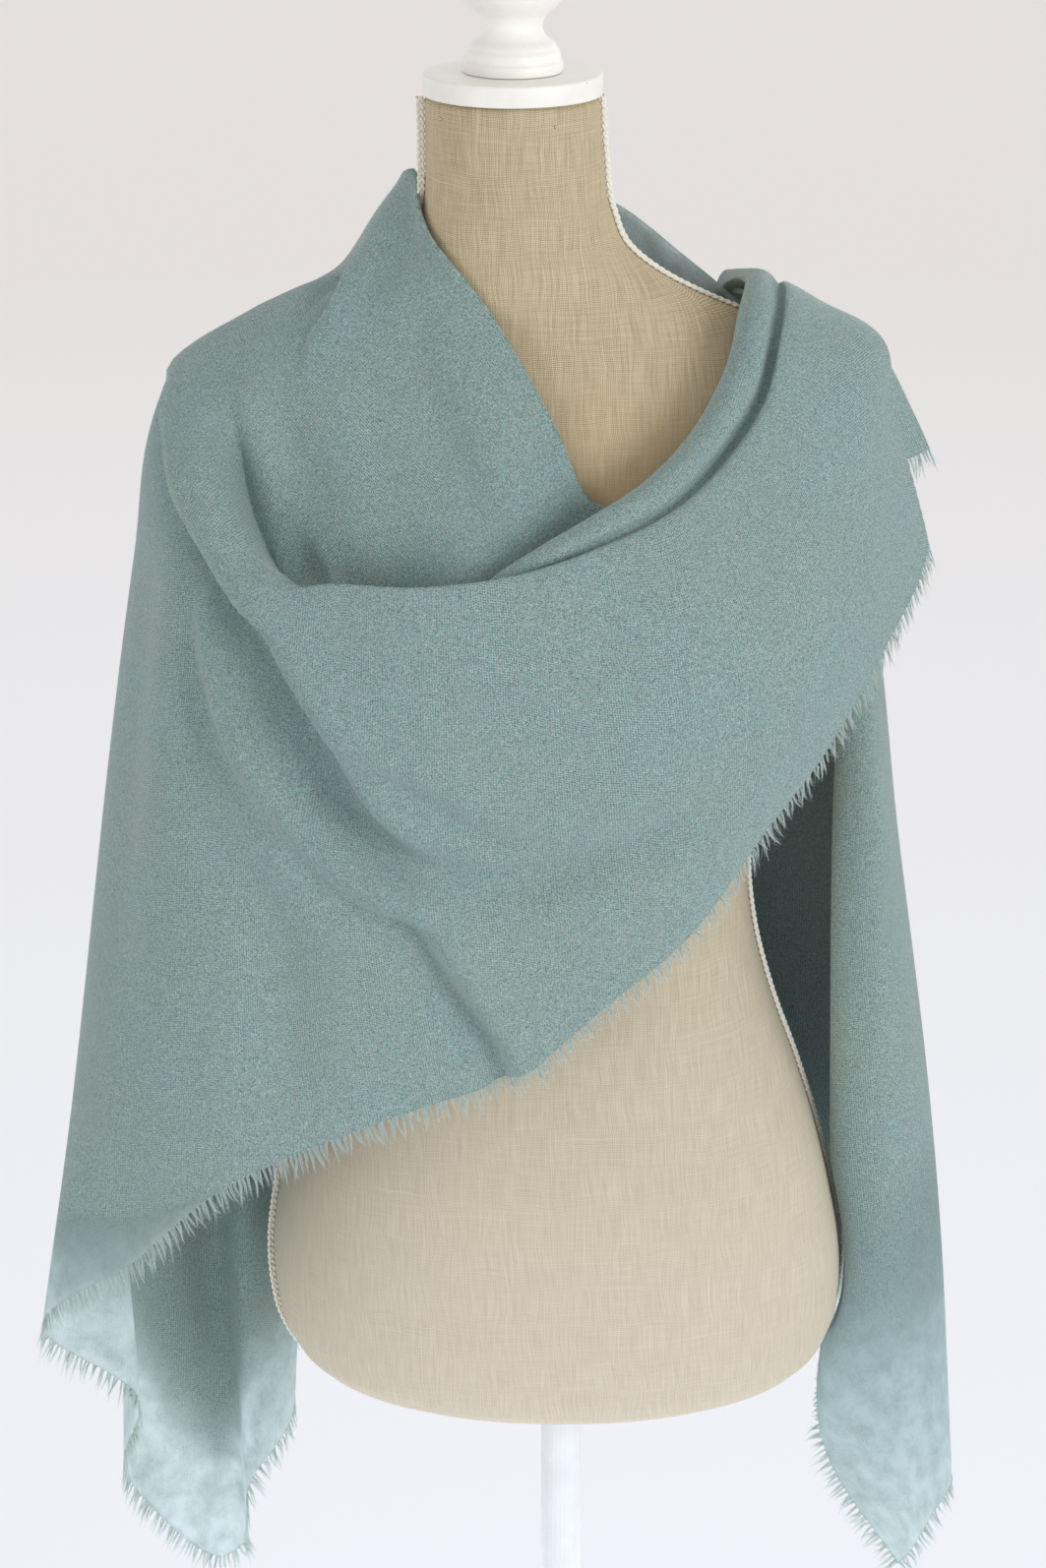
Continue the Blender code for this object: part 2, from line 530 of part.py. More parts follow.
def build_shawl():
    verts, faces = skin_rings(form_rings(SMOOTH_SIDES, SMOOTH_STEPS))
    tree = BVHTree.FromPolygons([Vector(v) for v in verts], faces)
    net, sections, rails = shawl_net(tree)
    spans = len(ROWS) - 1
    rows = coarse_steps([SECTION_STEPS] * spans, [SECTION_CUTS] * spans)
    columns = coarse_steps(RAIL_STEPS, RAIL_CUTS)
    net, sections, rails = net[np.ix_(rows, columns)], sections[rows], rails[columns]

    out = net_normals(net)
    half_seam = SEAM * MM / 2
    along_step, across_step = net_way(net, 0) * half_seam, net_way(net, 1) * half_seam

    def stretch(name, first, last, top="top", bottom="hem"):
        """One solid of the cloth between two sections and two rails, half a seam back at each."""
        moved = net.copy()
        ends = np.searchsorted(sections, (place(first), place(last)))
        edges = np.searchsorted(rails, (RAILS.index(top), RAILS.index(bottom)))
        if first != SECTIONS[0]:
            moved[ends[0]] += along_step[ends[0]]
        if last != SECTIONS[-1]:
            moved[ends[1]] -= along_step[ends[1]]
        if top != RAILS[0]:
            moved[:, edges[0]] += across_step[:, edges[0]]
        if bottom != RAILS[-1]:
            moved[:, edges[1]] -= across_step[:, edges[1]]
        part = (slice(ends[0], ends[1] + 1), slice(edges[0], edges[1] + 1))
        add_object(name, wall(moved[part], out[part], WALL), "cashmere")

    stretch("shawl_right_fall", "end_a", "back_corner")
    stretch("shawl_back", "back_corner", "behind_hip")
    stretch("shawl_left_fall", "behind_hip", "left_side")
    stretch("shawl_neck_layer", "left_side", "right_high", bottom="valley")
    stretch("shawl_front_swag", "left_side", "right_high", top="valley")
    stretch("shawl_thrown_end", "right_high", "corner_b")

    def fringe(name, edge, inside, facing, squareness):
        add_object(name, fringe_wall(edge, inside, facing, squareness), "fringe")

    corner = int(np.searchsorted(sections, place("left_side")))
    long_hem = slice(FRINGE_CORNER, corner - FRINGE_CORNER + 1)
    short_end = slice(corner + FRINGE_CORNER, None)
    low_end = slice(int(np.searchsorted(rails, RAILS.index("lower"))), -FRINGE_CORNER)
    fringe("fringe_long_hem", net[long_hem, -1], net[long_hem, -2], out[long_hem, -1], 0.5)
    fringe("fringe_thrown_end", net[short_end, -1], net[short_end, -2], out[short_end, -1], 1.0)
    fringe("fringe_free_end", net[0, low_end], net[1, low_end], out[0, low_end], 1.0)


def main():
    for old in list(bpy.data.objects):
        bpy.data.objects.remove(old, do_unlink=True)
    build_stand()
    build_shawl()


main()
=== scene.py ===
"""Looks of the cashmere shawl on its linen dress form.

The form faces -Y and stands on z = 0.  The shawl is one oblong of cloth.  Its free end hangs at +X from
the back of the shoulder; from there the cloth crosses the back, comes over the shoulder at -X, crosses
the chest and is thrown over the shoulder at +X.  Tables are in millimetres, the scene is in metres.
"""
import math

import bpy
import numpy as np
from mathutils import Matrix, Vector
from mathutils.bvhtree import BVHTree


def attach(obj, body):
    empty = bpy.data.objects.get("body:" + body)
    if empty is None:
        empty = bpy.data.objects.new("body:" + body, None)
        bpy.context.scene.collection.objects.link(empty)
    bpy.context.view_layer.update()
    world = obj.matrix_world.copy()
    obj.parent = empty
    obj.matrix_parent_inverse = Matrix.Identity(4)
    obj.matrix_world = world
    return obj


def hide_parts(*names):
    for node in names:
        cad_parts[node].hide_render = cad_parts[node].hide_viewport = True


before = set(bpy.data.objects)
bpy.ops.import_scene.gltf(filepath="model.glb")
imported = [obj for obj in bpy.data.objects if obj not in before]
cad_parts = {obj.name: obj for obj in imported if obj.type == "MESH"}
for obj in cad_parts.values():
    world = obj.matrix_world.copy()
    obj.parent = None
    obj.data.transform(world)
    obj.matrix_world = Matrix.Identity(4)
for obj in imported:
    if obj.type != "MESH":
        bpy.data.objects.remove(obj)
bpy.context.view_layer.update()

MM = 0.001
RANDOM = np.random.default_rng(7)
ANY_WAY = (0.31, 0.52, 0.79)    # a direction that no tube runs along
OWN_SHIFT = 0.37                # from one tube to the next on the map that tints them

# ---------------------------------------------------------------- dress form
FORM_BOTTOM = 586
NECK_TOP = 1405       # the height where the form's lean is whole
NECK_LEAN = -31       # how far its middle stands to the side of the pole there
NECK_FORWARD = -12    # and how far in front of it
NECK_START = 1150     # the height where it starts to come forward

# height, half width, front depth, back depth, squareness (2 is an ellipse)
FORM_RINGS = (
    (586, 100, 64, 64, 2.0),
    (588, 126, 80, 80, 2.1),
    (594, 147, 94, 94, 2.2),
    (606, 164, 105, 105, 2.3),
    (626, 176, 112, 112, 2.3),
    (652, 181, 116, 115, 2.3),
    (684, 181, 116, 115, 2.3),
    (717, 176, 114, 112, 2.3),
    (760, 167, 110, 105, 2.3),
    (803, 155, 104, 96, 2.2),
    (850, 140, 98, 86, 2.2),
    (895, 130, 94, 78, 2.2),
    (935, 127, 93, 75, 2.2),
    (975, 130, 97, 76, 2.2),
    (1020, 138, 105, 81, 2.2),
    (1065, 148, 112, 86, 2.2),
    (1105, 157, 114, 90, 2.2),
    (1150, 168, 108, 93, 2.2),
    (1195, 181, 95, 92, 2.2),
    (1230, 191, 82, 84, 2.2),
    (1252, 193, 72, 74, 2.1),
    (1266, 180, 64, 66, 2.0),
    (1278, 152, 58, 60, 2.0),
    (1290, 121, 55, 56, 2.0),
    (1304, 91, 54, 53, 2.0),
    (1322, 66, 53, 51, 2.0),
    (1346, 55, 52, 50, 2.0),
    (1380, 51.5, 51, 50, 2.0),
    (1414, 50.5, 51, 51, 2.0),
)
# fade is how fast the bust comes up from the side seams
BUST = {"height": 1092, "rise": 52, "from_middle": 70, "width": 44, "depth": 26, "fade": 1.6}
FINE_SIDES = 180      # of the linen that shows
FINE_STEPS = 8        # and its rings for each row of the table
SMOOTH_SIDES = 96     # of the smooth form that the cloth is kept clear of
SMOOTH_STEPS = 4      # and its rings for each row
TURNED_IN = 0.08      # share of the neck's width that the linen turns in under the cap
TURN_HEIGHT = 3.0     # and how far down that starts

# ---------------------------------------------------------------- turned pieces: radius, height
KNOB = ((26.5, 1427), (28.7, 1427.4), (29, 1428.6), (29, 1433), (28, 1434.4), (27.8, 1437), (27.2, 1439.2),
        (26, 1440.8), (24.8, 1443), (19.8, 1447), (17.6, 1451), (17.5, 1455), (19.6, 1459), (24, 1463),
        (27.8, 1467), (30.4, 1471.5), (32.6, 1480), (32.8, 1489), (30.5, 1499), (25.5, 1508.5), (17.5, 1516),
        (9, 1520))
CAP = ((48, 1414.3), (51.4, 1414.4), (51.9, 1414.8), (52, 1415.6), (52.05, 1420), (52, 1425.3),
       (51.8, 1426), (51.2, 1426.5), (50, 1426.7), (40, 1426.8), (20, 1426.8))
TURNED_SIDES = 96
TURNED_STEPS = 6      # of the knob's outline between two of its points
TURNED_KNOTS = 0.9    # power of their distance by which the curve through them is spaced
TURNED_CORNER = 35    # degrees from which an edge of turned wood stays sharp
TACK = ((0.9, -0.3), (0.9, 0.1), (0.7, 0.4), (0.3, 0.55), (0.03, 0.6))
TACK_SIDES = 16
TACKS = (((1405, 51, 51, 50.5, 2.0), 217), ((1403, 51, 51, 50.5, 2.0), 298))    # ring and turn

# braid along each side seam: turn round the form in degrees, from its left-hand side at +X
BRAID_SEAMS = {"braid_left": 1, "braid_right": 184}
BRAID_START = 2       # the ring where it starts, counted from the bottom
BRAID_STAND = {       # how far it is turned up from the linen: height and degrees
    "braid_left": ((586, 20), (1000, 20), (1150, 0), (1290, 0), (1330, 35), (1414, 35)),
    "braid_right": ((586, 55), (900, 55), (1050, 0), (1335, 0), (1362, 88), (1414, 88)),
}
BRAID_LIFT = (1.15, 1.35)     # its middle off the linen lying flat, and how much more on edge
BRAID_PITCH = 13.0    # length of one round of its plies
BRAID_ROW_STEPS = 12  # of the seam between two rings
BRAID_STEP = 0.8      # between the points of a ply
PLIES = 3
PLY_RADIUS = 0.95
PLY_SIDES = 6
PLY_SWING = 1.6       # of each ply to the braid's sides
PLY_RISE = 0.4        # and through its thickness

# ---------------------------------------------------------------- shawl
# A row is a section of the cloth from its top edge to its hem, and a column is a rail along it.
RAILS = ("top", "under", "valley", "roll_back", "roll", "roll_front", "crease", "crest",
         "upper", "middle", "lower", "hem")

RIGHT_FALL = (       # from the free end, inside the fall, round its front to its outside
    ("end_a", (108, -28, 1274), (130, -35, 1256), (148, -42, 1225), (154, -41, 1203), (158, -38, 1180),
     (163, -33, 1153), (168, -28, 1125), (176, -15, 1060), (181, -5, 950), (184, 4, 722), (168, -12, 550),
     (222, -20, 447)),
    ("fall_front", (114, -25, 1277), (137, -32, 1264), (156, -41, 1233), (161, -45, 1212), (164, -47, 1190),
     (164, -46, 1160), (164, -42, 1130), (165, -32, 1060), (165, -20, 950), (171, -13, 712), (178, -21, 580),
     (229, -21, 455)),
    ("fall_panel", (116, -12, 1280), (140, -15, 1270), (163, -19, 1250), (169, -21, 1228), (172, -23, 1205),
     (175, -25, 1170), (178, -26, 1135), (186, -31, 1060), (193, -32, 960), (205, -30, 810), (218, -26, 630),
     (243, -14, 478)),
    ("fall_side", (114, 5, 1282), (141, 10, 1274), (166, 13, 1256), (172, 14, 1236), (175, 15, 1215),
     (178, 16, 1178), (181, 17, 1140), (194, 18, 1060), (207, 18, 960), (231, 16, 800), (247, 14, 660),
     (258, 6, 503)),
)
BACK = (
    ("back_corner", (106, 30, 1280), (122, 46, 1264), (136, 60, 1235), (142, 66, 1213), (148, 72, 1190),
     (151, 76, 1163), (154, 80, 1135), (163, 84, 1065), (174, 86, 970), (190, 90, 830), (202, 92, 690),
     (208, 84, 540)),
    ("back_side", (74, 45, 1304), (80, 64, 1278), (90, 80, 1240), (94, 86, 1218), (98, 92, 1195),
     (102, 96, 1168), (105, 100, 1140), (110, 104, 1075), (116, 107, 985), (124, 112, 860), (132, 118, 710),
     (140, 122, 566)),
    ("back_near", (26, 42, 1341), (30, 66, 1298), (35, 84, 1250), (38, 90, 1225), (40, 96, 1200),
     (43, 100, 1170), (45, 103, 1140), (50, 107, 1075), (55, 111, 985), (60, 117, 860), (66, 126, 710),
     (72, 132, 578)),
    ("back_middle", (-28, 51, 1350), (-28, 74, 1303), (-26, 90, 1255), (-25, 95, 1228), (-23, 100, 1200),
     (-21, 103, 1170), (-19, 106, 1140), (-15, 110, 1075), (-11, 114, 985), (-8, 120, 860), (-5, 128, 710),
     (-2, 133, 584)),
    ("back_far", (-62, 47, 1353), (-66, 68, 1310), (-72, 86, 1262), (-75, 92, 1234), (-78, 98, 1205),
     (-81, 102, 1173), (-84, 106, 1140), (-88, 112, 1070), (-94, 116, 980), (-100, 122, 860),
     (-105, 129, 720), (-110, 131, 580)),
)
LEFT_FALL = (        # the hem turns to and fro here, a row for each turn
    ("behind_hip", (-72, 43, 1355), (-79, 65, 1314), (-88, 82, 1268), (-93, 88, 1241), (-98, 94, 1214),
     (-104, 99, 1182), (-109, 103, 1150), (-119, 111, 1080), (-128, 117, 985), (-138, 123, 860),
     (-152, 124, 710), (-176, 106, 560)),
    ("hip", (-80, 38, 1356), (-90, 60, 1318), (-104, 76, 1274), (-111, 82, 1248), (-118, 88, 1222),
     (-125, 93, 1191), (-132, 98, 1160), (-146, 108, 1090), (-156, 116, 990), (-165, 117, 860),
     (-178, 98, 700), (-180, 60, 514)),
    ("ridge", (-88, 33, 1359), (-100, 52, 1326), (-120, 66, 1288), (-130, 71, 1267), (-140, 76, 1245),
     (-151, 81, 1218), (-162, 86, 1190), (-182, 94, 1115), (-194, 96, 1010), (-202, 90, 880),
     (-206, 58, 690), (-208, 30, 478)),
    ("trough", (-92, 27, 1361), (-106, 42, 1332), (-128, 52, 1298), (-141, 55, 1283), (-154, 58, 1266),
     (-169, 62, 1245), (-184, 66, 1222), (-208, 72, 1150), (-222, 76, 1040), (-230, 78, 900),
     (-238, 68, 690), (-227, 44, 411)),
    ("turn_back", (-94, 20, 1362), (-110, 30, 1337), (-132, 36, 1304), (-146, 37, 1293), (-160, 38, 1282),
     (-178, 40, 1269), (-196, 42, 1252), (-228, 44, 1198), (-246, 44, 1090), (-258, 40, 950),
     (-278, 27, 750), (-288, 8, 498)),
    ("turn_front", (-93, 12, 1364), (-110, 14, 1342), (-132, 14, 1309), (-146, 14, 1300), (-160, 14, 1293),
     (-176, 15, 1284), (-192, 16, 1274), (-236, 16, 1234), (-255, 14, 1130), (-271, 8, 990),
     (-284, -10, 790), (-273, -40, 584)),
)
FRONT = (
    ("left_side", (-89, 4, 1366), (-108, -3, 1343), (-130, -10, 1310), (-142, -10, 1303), (-155, -10, 1298),
     (-169, -10, 1292), (-183, -10, 1285), (-236, -12, 1250), (-256, -20, 1143), (-276, -30, 1013),
     (-303, -50, 808), (-327, -70, 645)),
    ("left_front", (-80, -22, 1350), (-105, -40, 1308), (-148, -54, 1272), (-162, -58, 1260),
     (-175, -63, 1249), (-187, -69, 1239), (-198, -73, 1227), (-223, -84, 1192), (-233, -88, 1108),
     (-247, -97, 983), (-257, -105, 847), (-264, -110, 715)),
    ("rim", (-67, -42, 1329), (-92, -72, 1276), (-135, -88, 1196), (-146, -89, 1182), (-154, -93, 1169),
     (-160, -102, 1164), (-166, -111, 1157), (-184, -124, 1147), (-191, -128, 1078), (-197, -132, 984),
     (-202, -135, 873), (-207, -135, 776)),
    ("pocket_left", (-47, -62, 1301), (-76, -101, 1235), (-108, -126, 1124), (-117, -130, 1128),
     (-125, -134, 1137), (-128, -139, 1147), (-131, -145, 1153), (-134, -151, 1160), (-141, -157, 1088),
     (-143, -153, 992), (-142, -150, 892), (-137, -148, 816)),
    ("pocket_low", (-26, -80, 1270), (-45, -121, 1210), (-68, -155, 1120), (-73, -158, 1123),
     (-78, -160, 1132), (-81, -162, 1143), (-83, -164, 1155), (-84, -168, 1163), (-87, -175, 1093),
     (-91, -167, 1002), (-86, -158, 913), (-78, -150, 840)),
    ("kink", (-6, -95, 1236), (-15, -118, 1195), (-26, -143, 1132), (-32, -146, 1144), (-37, -148, 1168),
     (-35, -155, 1167), (-34, -157, 1160), (-31, -166, 1170), (-31, -177, 1106), (-34, -169, 1016),
     (-33, -160, 928), (-28, -152, 859)),
    ("v_bottom", (16, -102, 1194), (17, -112, 1168), (15, -122, 1139), (11, -130, 1160), (8, -137, 1192),
     (15, -152, 1191), (16, -150, 1183), (17, -159, 1182), (24, -175, 1119), (27, -170, 1035),
     (27, -161, 965), (23, -152, 903)),
    ("right_low", (53, -93, 1200), (59, -103, 1184), (63, -110, 1170), (54, -113, 1192), (45, -122, 1215),
     (55, -139, 1208), (57, -137, 1200), (58, -146, 1200), (75, -168, 1140), (82, -163, 1062),
     (80, -156, 1000), (73, -147, 947)),
    ("right_mid", (83, -78, 1230), (90, -88, 1213), (98, -96, 1196), (86, -95, 1217), (72, -101, 1240),
     (86, -119, 1234), (88, -113, 1223), (89, -125, 1224), (113, -148, 1162), (126, -148, 1104),
     (125, -141, 1054), (116, -133, 1006)),
    ("right_high", (100, -57, 1263), (110, -70, 1247), (120, -80, 1230), (108, -76, 1250), (91, -79, 1271),
     (106, -98, 1263), (111, -92, 1252), (112, -104, 1254), (139, -126, 1197), (153, -129, 1146),
     (157, -124, 1102), (151, -116, 1049)),
)
THROWN_END = (       # over the shoulder and down behind it
    ("shoulder_front", (108, -35, 1283), (118, -46, 1274), (129, -57, 1263), (117, -49, 1279),
     (99, -47, 1294), (115, -67, 1291), (121, -62, 1282), (122, -73, 1285), (156, -91, 1242),
     (174, -98, 1189), (184, -95, 1141), (186, -90, 1104)),
    ("shoulder_top", (108, -5, 1291), (122, -8, 1286), (135, -12, 1284), (120, -8, 1294), (105, -6, 1303),
     (118, -12, 1309), (126, -11, 1300), (130, -15, 1303), (182, -28, 1276), (188, -33, 1240),
     (202, -36, 1193), (214, -36, 1151)),
    ("shoulder_back", (104, 30, 1290), (118, 34, 1283), (132, 38, 1277), (113, 38, 1286), (94, 40, 1288),
     (106, 44, 1300), (121, 42, 1291), (134, 42, 1288), (176, 22, 1263), (184, 12, 1236), (190, 8, 1206),
     (195, 8, 1182)),
    ("corner_b", (98, 52, 1283), (112, 58, 1274), (126, 63, 1264), (110, 63, 1279), (93, 59, 1282),
     (98, 62, 1295), (116, 66, 1286), (137, 70, 1275), (184, 52, 1256), (198, 54, 1237), (212, 51, 1210),
     (223, 47, 1188)),
)
ROWS = RIGHT_FALL + BACK + LEFT_FALL + FRONT + THROWN_END
SECTIONS = [row[0] for row in ROWS]

# least distance of the cloth's middle from the form: first layer, turned-in layer and outer one
FIRST_LAYER, SECOND_LAYER, OUTER_LAYER = 4.4, 9.5, 15.5
CHEST_START = 0.9     # the outer layer starts to stand off the chest this far past left_front
CHEST_SPAN = 1.5      # and is whole this many sections further on
FORM_SEARCH = 100     # how far off the form is looked for
SHAPE_SOFTENING = 3   # rounds of softening before the folds are raised
FOLD_SOFTENING = 2    # and after it
FOLD_REACH = 2.3      # a fold shapes the cloth this many rails and sections to each side
FOLD_FADE = 0.8       # and dies out over the last of them
FOLD_STEPS = 14       # points along a fold between two of its places
DROP_STEEPNESS = 0.35     # share of the drop's width in which the ground falls away
DROP_SPREAD = 3       # and how many times that width the fold's own height takes

# folds: half width, height, and how deep and how wide the ground drops away on the side towards the
# fall, then the places they run through as (section, sections past it, rail, share of the height)
FOLDS = (
    ("rim", 26, 10, 20, 18, (
        ("left_side", 0.3, 7.05, 0.6), ("left_front", 0.05, 7.0, 1.0), ("left_front", 0.7, 7.0, 1.0),
        ("rim", 0.3, 7.3, 1.0), ("rim", 0.72, 7.8, 1.0), ("pocket_left", 0.4, 8.45, 0.9),
        ("pocket_left", 0.9, 8.85, 0.5), ("pocket_low", 0.3, 9.15, 0.0))),
    ("low_ridge", 16, 7, 3, 14, (
        ("left_front", 0.35, 7.4, 0.3), ("left_front", 0.6, 7.95, 1.0), ("rim", 0.31, 8.5, 1.0),
        ("pocket_left", 0.29, 9.1, 1.0), ("pocket_low", 0.04, 9.42, 0.8))),
    ("low_crease", 18, 6, 11, 12, (
        ("pocket_left", 0.6, 9.25, 0.2), ("pocket_low", 0.04, 9.42, 0.7), ("pocket_low", 0.43, 9.88, 1.0),
        ("pocket_low", 0.83, 10.5, 1.0), ("kink", 0.0, 11.0, 0.9))),
    ("bust_sweep", 16, 5, 7, 12, (
        ("rim", 0.9, 7.9, 0.2), ("pocket_left", 0.2, 8.15, 0.7), ("pocket_low", 0.05, 8.45, 1.0),
        ("pocket_low", 0.9, 8.9, 0.9), ("kink", 0.5, 9.05, 0.3))),
    ("side_trough", 21, -7, 0, 0, (
        ("left_front", 0.1, 7.5, 0.3), ("left_front", 0.45, 8.1, 1.0), ("left_front", 0.9, 8.8, 1.0),
        ("rim", 0.5, 9.4, 1.2), ("rim", 0.6, 10.1, 1.2), ("rim", 0.6, 10.7, 0.4))),
    ("under_bust", 15, -13, 0, 0, (
        ("rim", 0.25, 7.85, 0.3), ("rim", 0.86, 8.5, 0.8), ("pocket_left", 0.4, 8.85, 1.0),
        ("pocket_left", 0.9, 9.02, 1.0), ("pocket_low", 0.3, 9.17, 1.0), ("kink", 0.0, 9.36, 1.0),
        ("kink", 0.6, 9.42, 1.0), ("right_low", 0.2, 9.5, 0.3))),
    ("pocket_groove", 10, -20, 0, 0, (
        ("left_side", 0.85, 6.0, 0.3), ("left_front", 0.21, 5.5, 0.8), ("left_front", 0.5, 5.45, 1.0),
        ("left_front", 0.86, 5.25, 1.0), ("rim", 0.1, 4.9, 1.0), ("rim", 0.45, 4.7, 0.6))),
    ("strap", 11, 9, 0, 0, (
        ("left_side", 0.7, 6.5, 0.3), ("left_front", 0.27, 6.4, 1.0), ("left_front", 0.68, 6.5, 1.0),
        ("rim", 0.25, 6.7, 0.7))),
    ("panel_hollow", 17, -9, 0, 0, (
        ("left_side", 0.9, 0.9, 0.3), ("left_front", 0.9, 0.9, 0.8), ("rim", 0.9, 0.95, 1.0),
        ("pocket_left", 0.6, 1.05, 1.0), ("pocket_low", 0.2, 1.2, 0.6))),
    ("panel_crown", 24, 7, 0, 0, (
        ("left_front", 0.15, 1.8, 0.4), ("left_front", 0.77, 1.7, 1.0), ("rim", 0.31, 1.7, 1.0),
        ("rim", 0.66, 1.75, 0.8))),
    ("collar_crease", 12, 3, 8, 9, (
        ("left_side", 0.1, 1.7, 0.4), ("left_side", 0.34, 1.74, 1.0), ("left_side", 0.62, 1.75, 1.0),
        ("left_side", 0.9, 2.0, 0.5))),
    ("roll_crown", 8, 4, 0, 0, (
        ("kink", 0.6, 4.4, 0.4), ("v_bottom", 0.6, 4.6, 1.0), ("right_low", 0.8, 4.6, 1.0),
        ("right_mid", 0.8, 4.6, 1.0), ("right_high", 0.8, 4.6, 1.0), ("shoulder_front", 0.8, 4.6, 0.7))),
    ("roll_crease", 6, -4, 0, 0, (
        ("kink", 0.3, 5.7, 0.1), ("v_bottom", 0.0, 5.6, 0.4), ("v_bottom", 0.9, 5.5, 0.7),
        ("right_low", 0.9, 5.5, 1.0), ("right_mid", 0.9, 5.5, 1.0), ("right_high", 0.9, 5.5, 1.0),
        ("shoulder_front", 0.9, 5.5, 0.8))),
    ("shoulder_dip", 17, -2, 0, 0, (
        ("shoulder_front", 0.5, 7.3, 0.3), ("shoulder_top", 0.0, 7.45, 1.0),
        ("shoulder_back", 0.0, 7.45, 1.0))),
    ("edge_line", 4, 3, 0, 0, (
        ("shoulder_top", 0.0, 8.2, 0.2), ("shoulder_top", 0.0, 8.9, 1.0),
        ("shoulder_top", 0.0, 11.0, 1.0))),
    ("behind_edge", 7, -5, 0, 0, (
        ("shoulder_top", 0.35, 8.2, 0.3), ("shoulder_top", 0.35, 9.0, 1.0),
        ("shoulder_top", 0.4, 11.0, 1.0))),
    ("left_cleft", 13, 12, 0, 0, (
        ("ridge", 0.75, 6.0, 0.3), ("ridge", 0.78, 8.0, 0.8), ("ridge", 0.8, 9.5, 1.0),
        ("ridge", 0.7, 11.0, 1.0))),
    ("side_hollow", 18, -4, 0, 0, (
        ("left_side", 0.6, 7.6, 0.4), ("left_side", 0.6, 8.6, 1.0), ("left_side", 0.7, 10.0, 0.5))),
    ("back_hollow", 26, -9, 0, 0, (
        ("back_near", 0.3, 5.5, 0.3), ("back_near", 0.4, 8.0, 1.0), ("back_near", 0.5, 11.0, 1.0))),
    ("back_ridge", 22, 8, 0, 0, (
        ("back_middle", 0.4, 6.0, 0.3), ("back_middle", 0.5, 8.5, 1.0), ("back_middle", 0.5, 11.0, 1.0))),
    ("back_sweep", 18, -6, 0, 0, (
        ("back_side", 0.4, 1.5, 0.4), ("back_near", 0.2, 2.2, 1.0), ("back_middle", 0.2, 2.6, 1.0),
        ("back_far", 0.3, 2.0, 0.4))),
)

# steps of the net between neighbouring rails and between neighbouring sections
RAIL_STEPS = (12, 13, 7, 6, 6, 8, 8, 16, 18, 24, 24)
SECTION_STEPS = (10, 10, 10, 12, 12, 12, 12, 12, 10, 10, 11, 12, 12, 12,
                 12, 13, 14, 14, 13, 13, 13, 13, 13, 13, 13, 16, 14, 12)

SHAWL_NODES = ("shawl_right_fall", "shawl_back", "shawl_left_fall", "shawl_neck_layer",
               "shawl_front_swag", "shawl_thrown_end")
SHELL = 1.4           # thickness of the cloth
EDGE_SWELL = 2.0      # and how much more it is at the turned neck edge
EDGE_REACH = 6        # which fades out over this width
HEM_THINNING = 0.9    # and how much less at the frayed hem
HEM_REACH = 7
# how far above the hem the cloth hangs as a single layer, by section
THIN_ENDS = (("end_a", 150), ("fall_front", 195), ("fall_side", 185), ("back_corner", 70), ("back_side", 0),
             ("behind_hip", 0), ("hip", 70), ("ridge", 95), ("trough", 80), ("turn_back", 115),
             ("turn_front", 85), ("left_side", 60), ("left_front", 25), ("rim", 0), ("corner_b", 0))
THIN_START, THIN_FADE = 1.4, 0.75       # shares of that height where it sets in and in which it grows
NECK_GLOW, NECK_GLOW_REACH = 0.6, 75    # the same along the back of the neck

# ---------------------------------------------------------------- fringe
FRINGE_REACH = 13
TUFT_SPACING = 3.1
TUFT_SHIFT = 0.3      # share of the spacing that a tuft may be out of place
TUFT_SQUARE = 0.6     # share of its way that is square to the edge, against along the cloth
TUFT_DROOP = (0, 0, -0.12)
TUFT_REACH = (0.75, 1.25)     # shares of the fringe's reach
TUFT_SWAY = (0.18, 0.1, 0.4)      # spread of its lean, lift and curl
TUFT_STRANDS = (14, 20)
SHORT_TUFTS = 0.4     # reach of the tufts high up on the free end, against the others
SHORT_SHARE = 0.6     # and the share of that end's tufts
STRAND_STEPS = 4
STRAND_SIDES = 3
STRAND_DEPTH = 0.5    # of its root inside the hem
STRAND_REACH = (0.45, 1.05)   # shares of the tuft's reach
STRAND_ASIDE = 0.33   # share of the spacing to each side of the tuft's middle
STRAND_LIFT = 0.3     # spread of its root off the hem's middle
STRAND_DRAWN = 0.6    # how far the strands of a tuft close up at its tip
STRAND_BEND = (0.5, 0.3)      # how far along a strand its bend is, and how far aside its curl takes it
STRAND_TAPER = 0.8
# of a strand in a tuft, and of one that stands off on its own: radius and spread of its end
DRAWN_STRAND = {"radius": (0.12, 0.18), "spread": (0.3, 0.25)}
LOOSE_STRAND = {"radius": (0.05, 0.09), "spread": (0.4, 0.25)}
LOOSE_SHARE = 0.2     # of the strands that stand off

# ---------------------------------------------------------------- finishes, light and stage
WEAVE_SCALE = 215.0   # of the cloth's wave textures, a thread about 1.5 mm
LINEN_SCALE = 320.0   # and of the linen's, about 1 mm
LINEN_PAINTED_LIGHT_BELOW = (1.12, 0.7)                  # metres: painted light from below makes it paler from this height down to this one
LINEN_PAINTED_WARM_BOUNCE = ((1.27, 1.18), (1.0, 1.1))  # metres: where painted warm bounce light makes it warmer, from above and from below
WARM_PAINT = ((0.89, 0.86, 0.80), (0.95, 0.93, 0.885))
# a darker, cooler copy of the same white paint for the pole and foot: painted shade under the form
POLE_PAINTED_SHADE = ((0.74, 0.76, 0.80), (0.80, 0.82, 0.86))

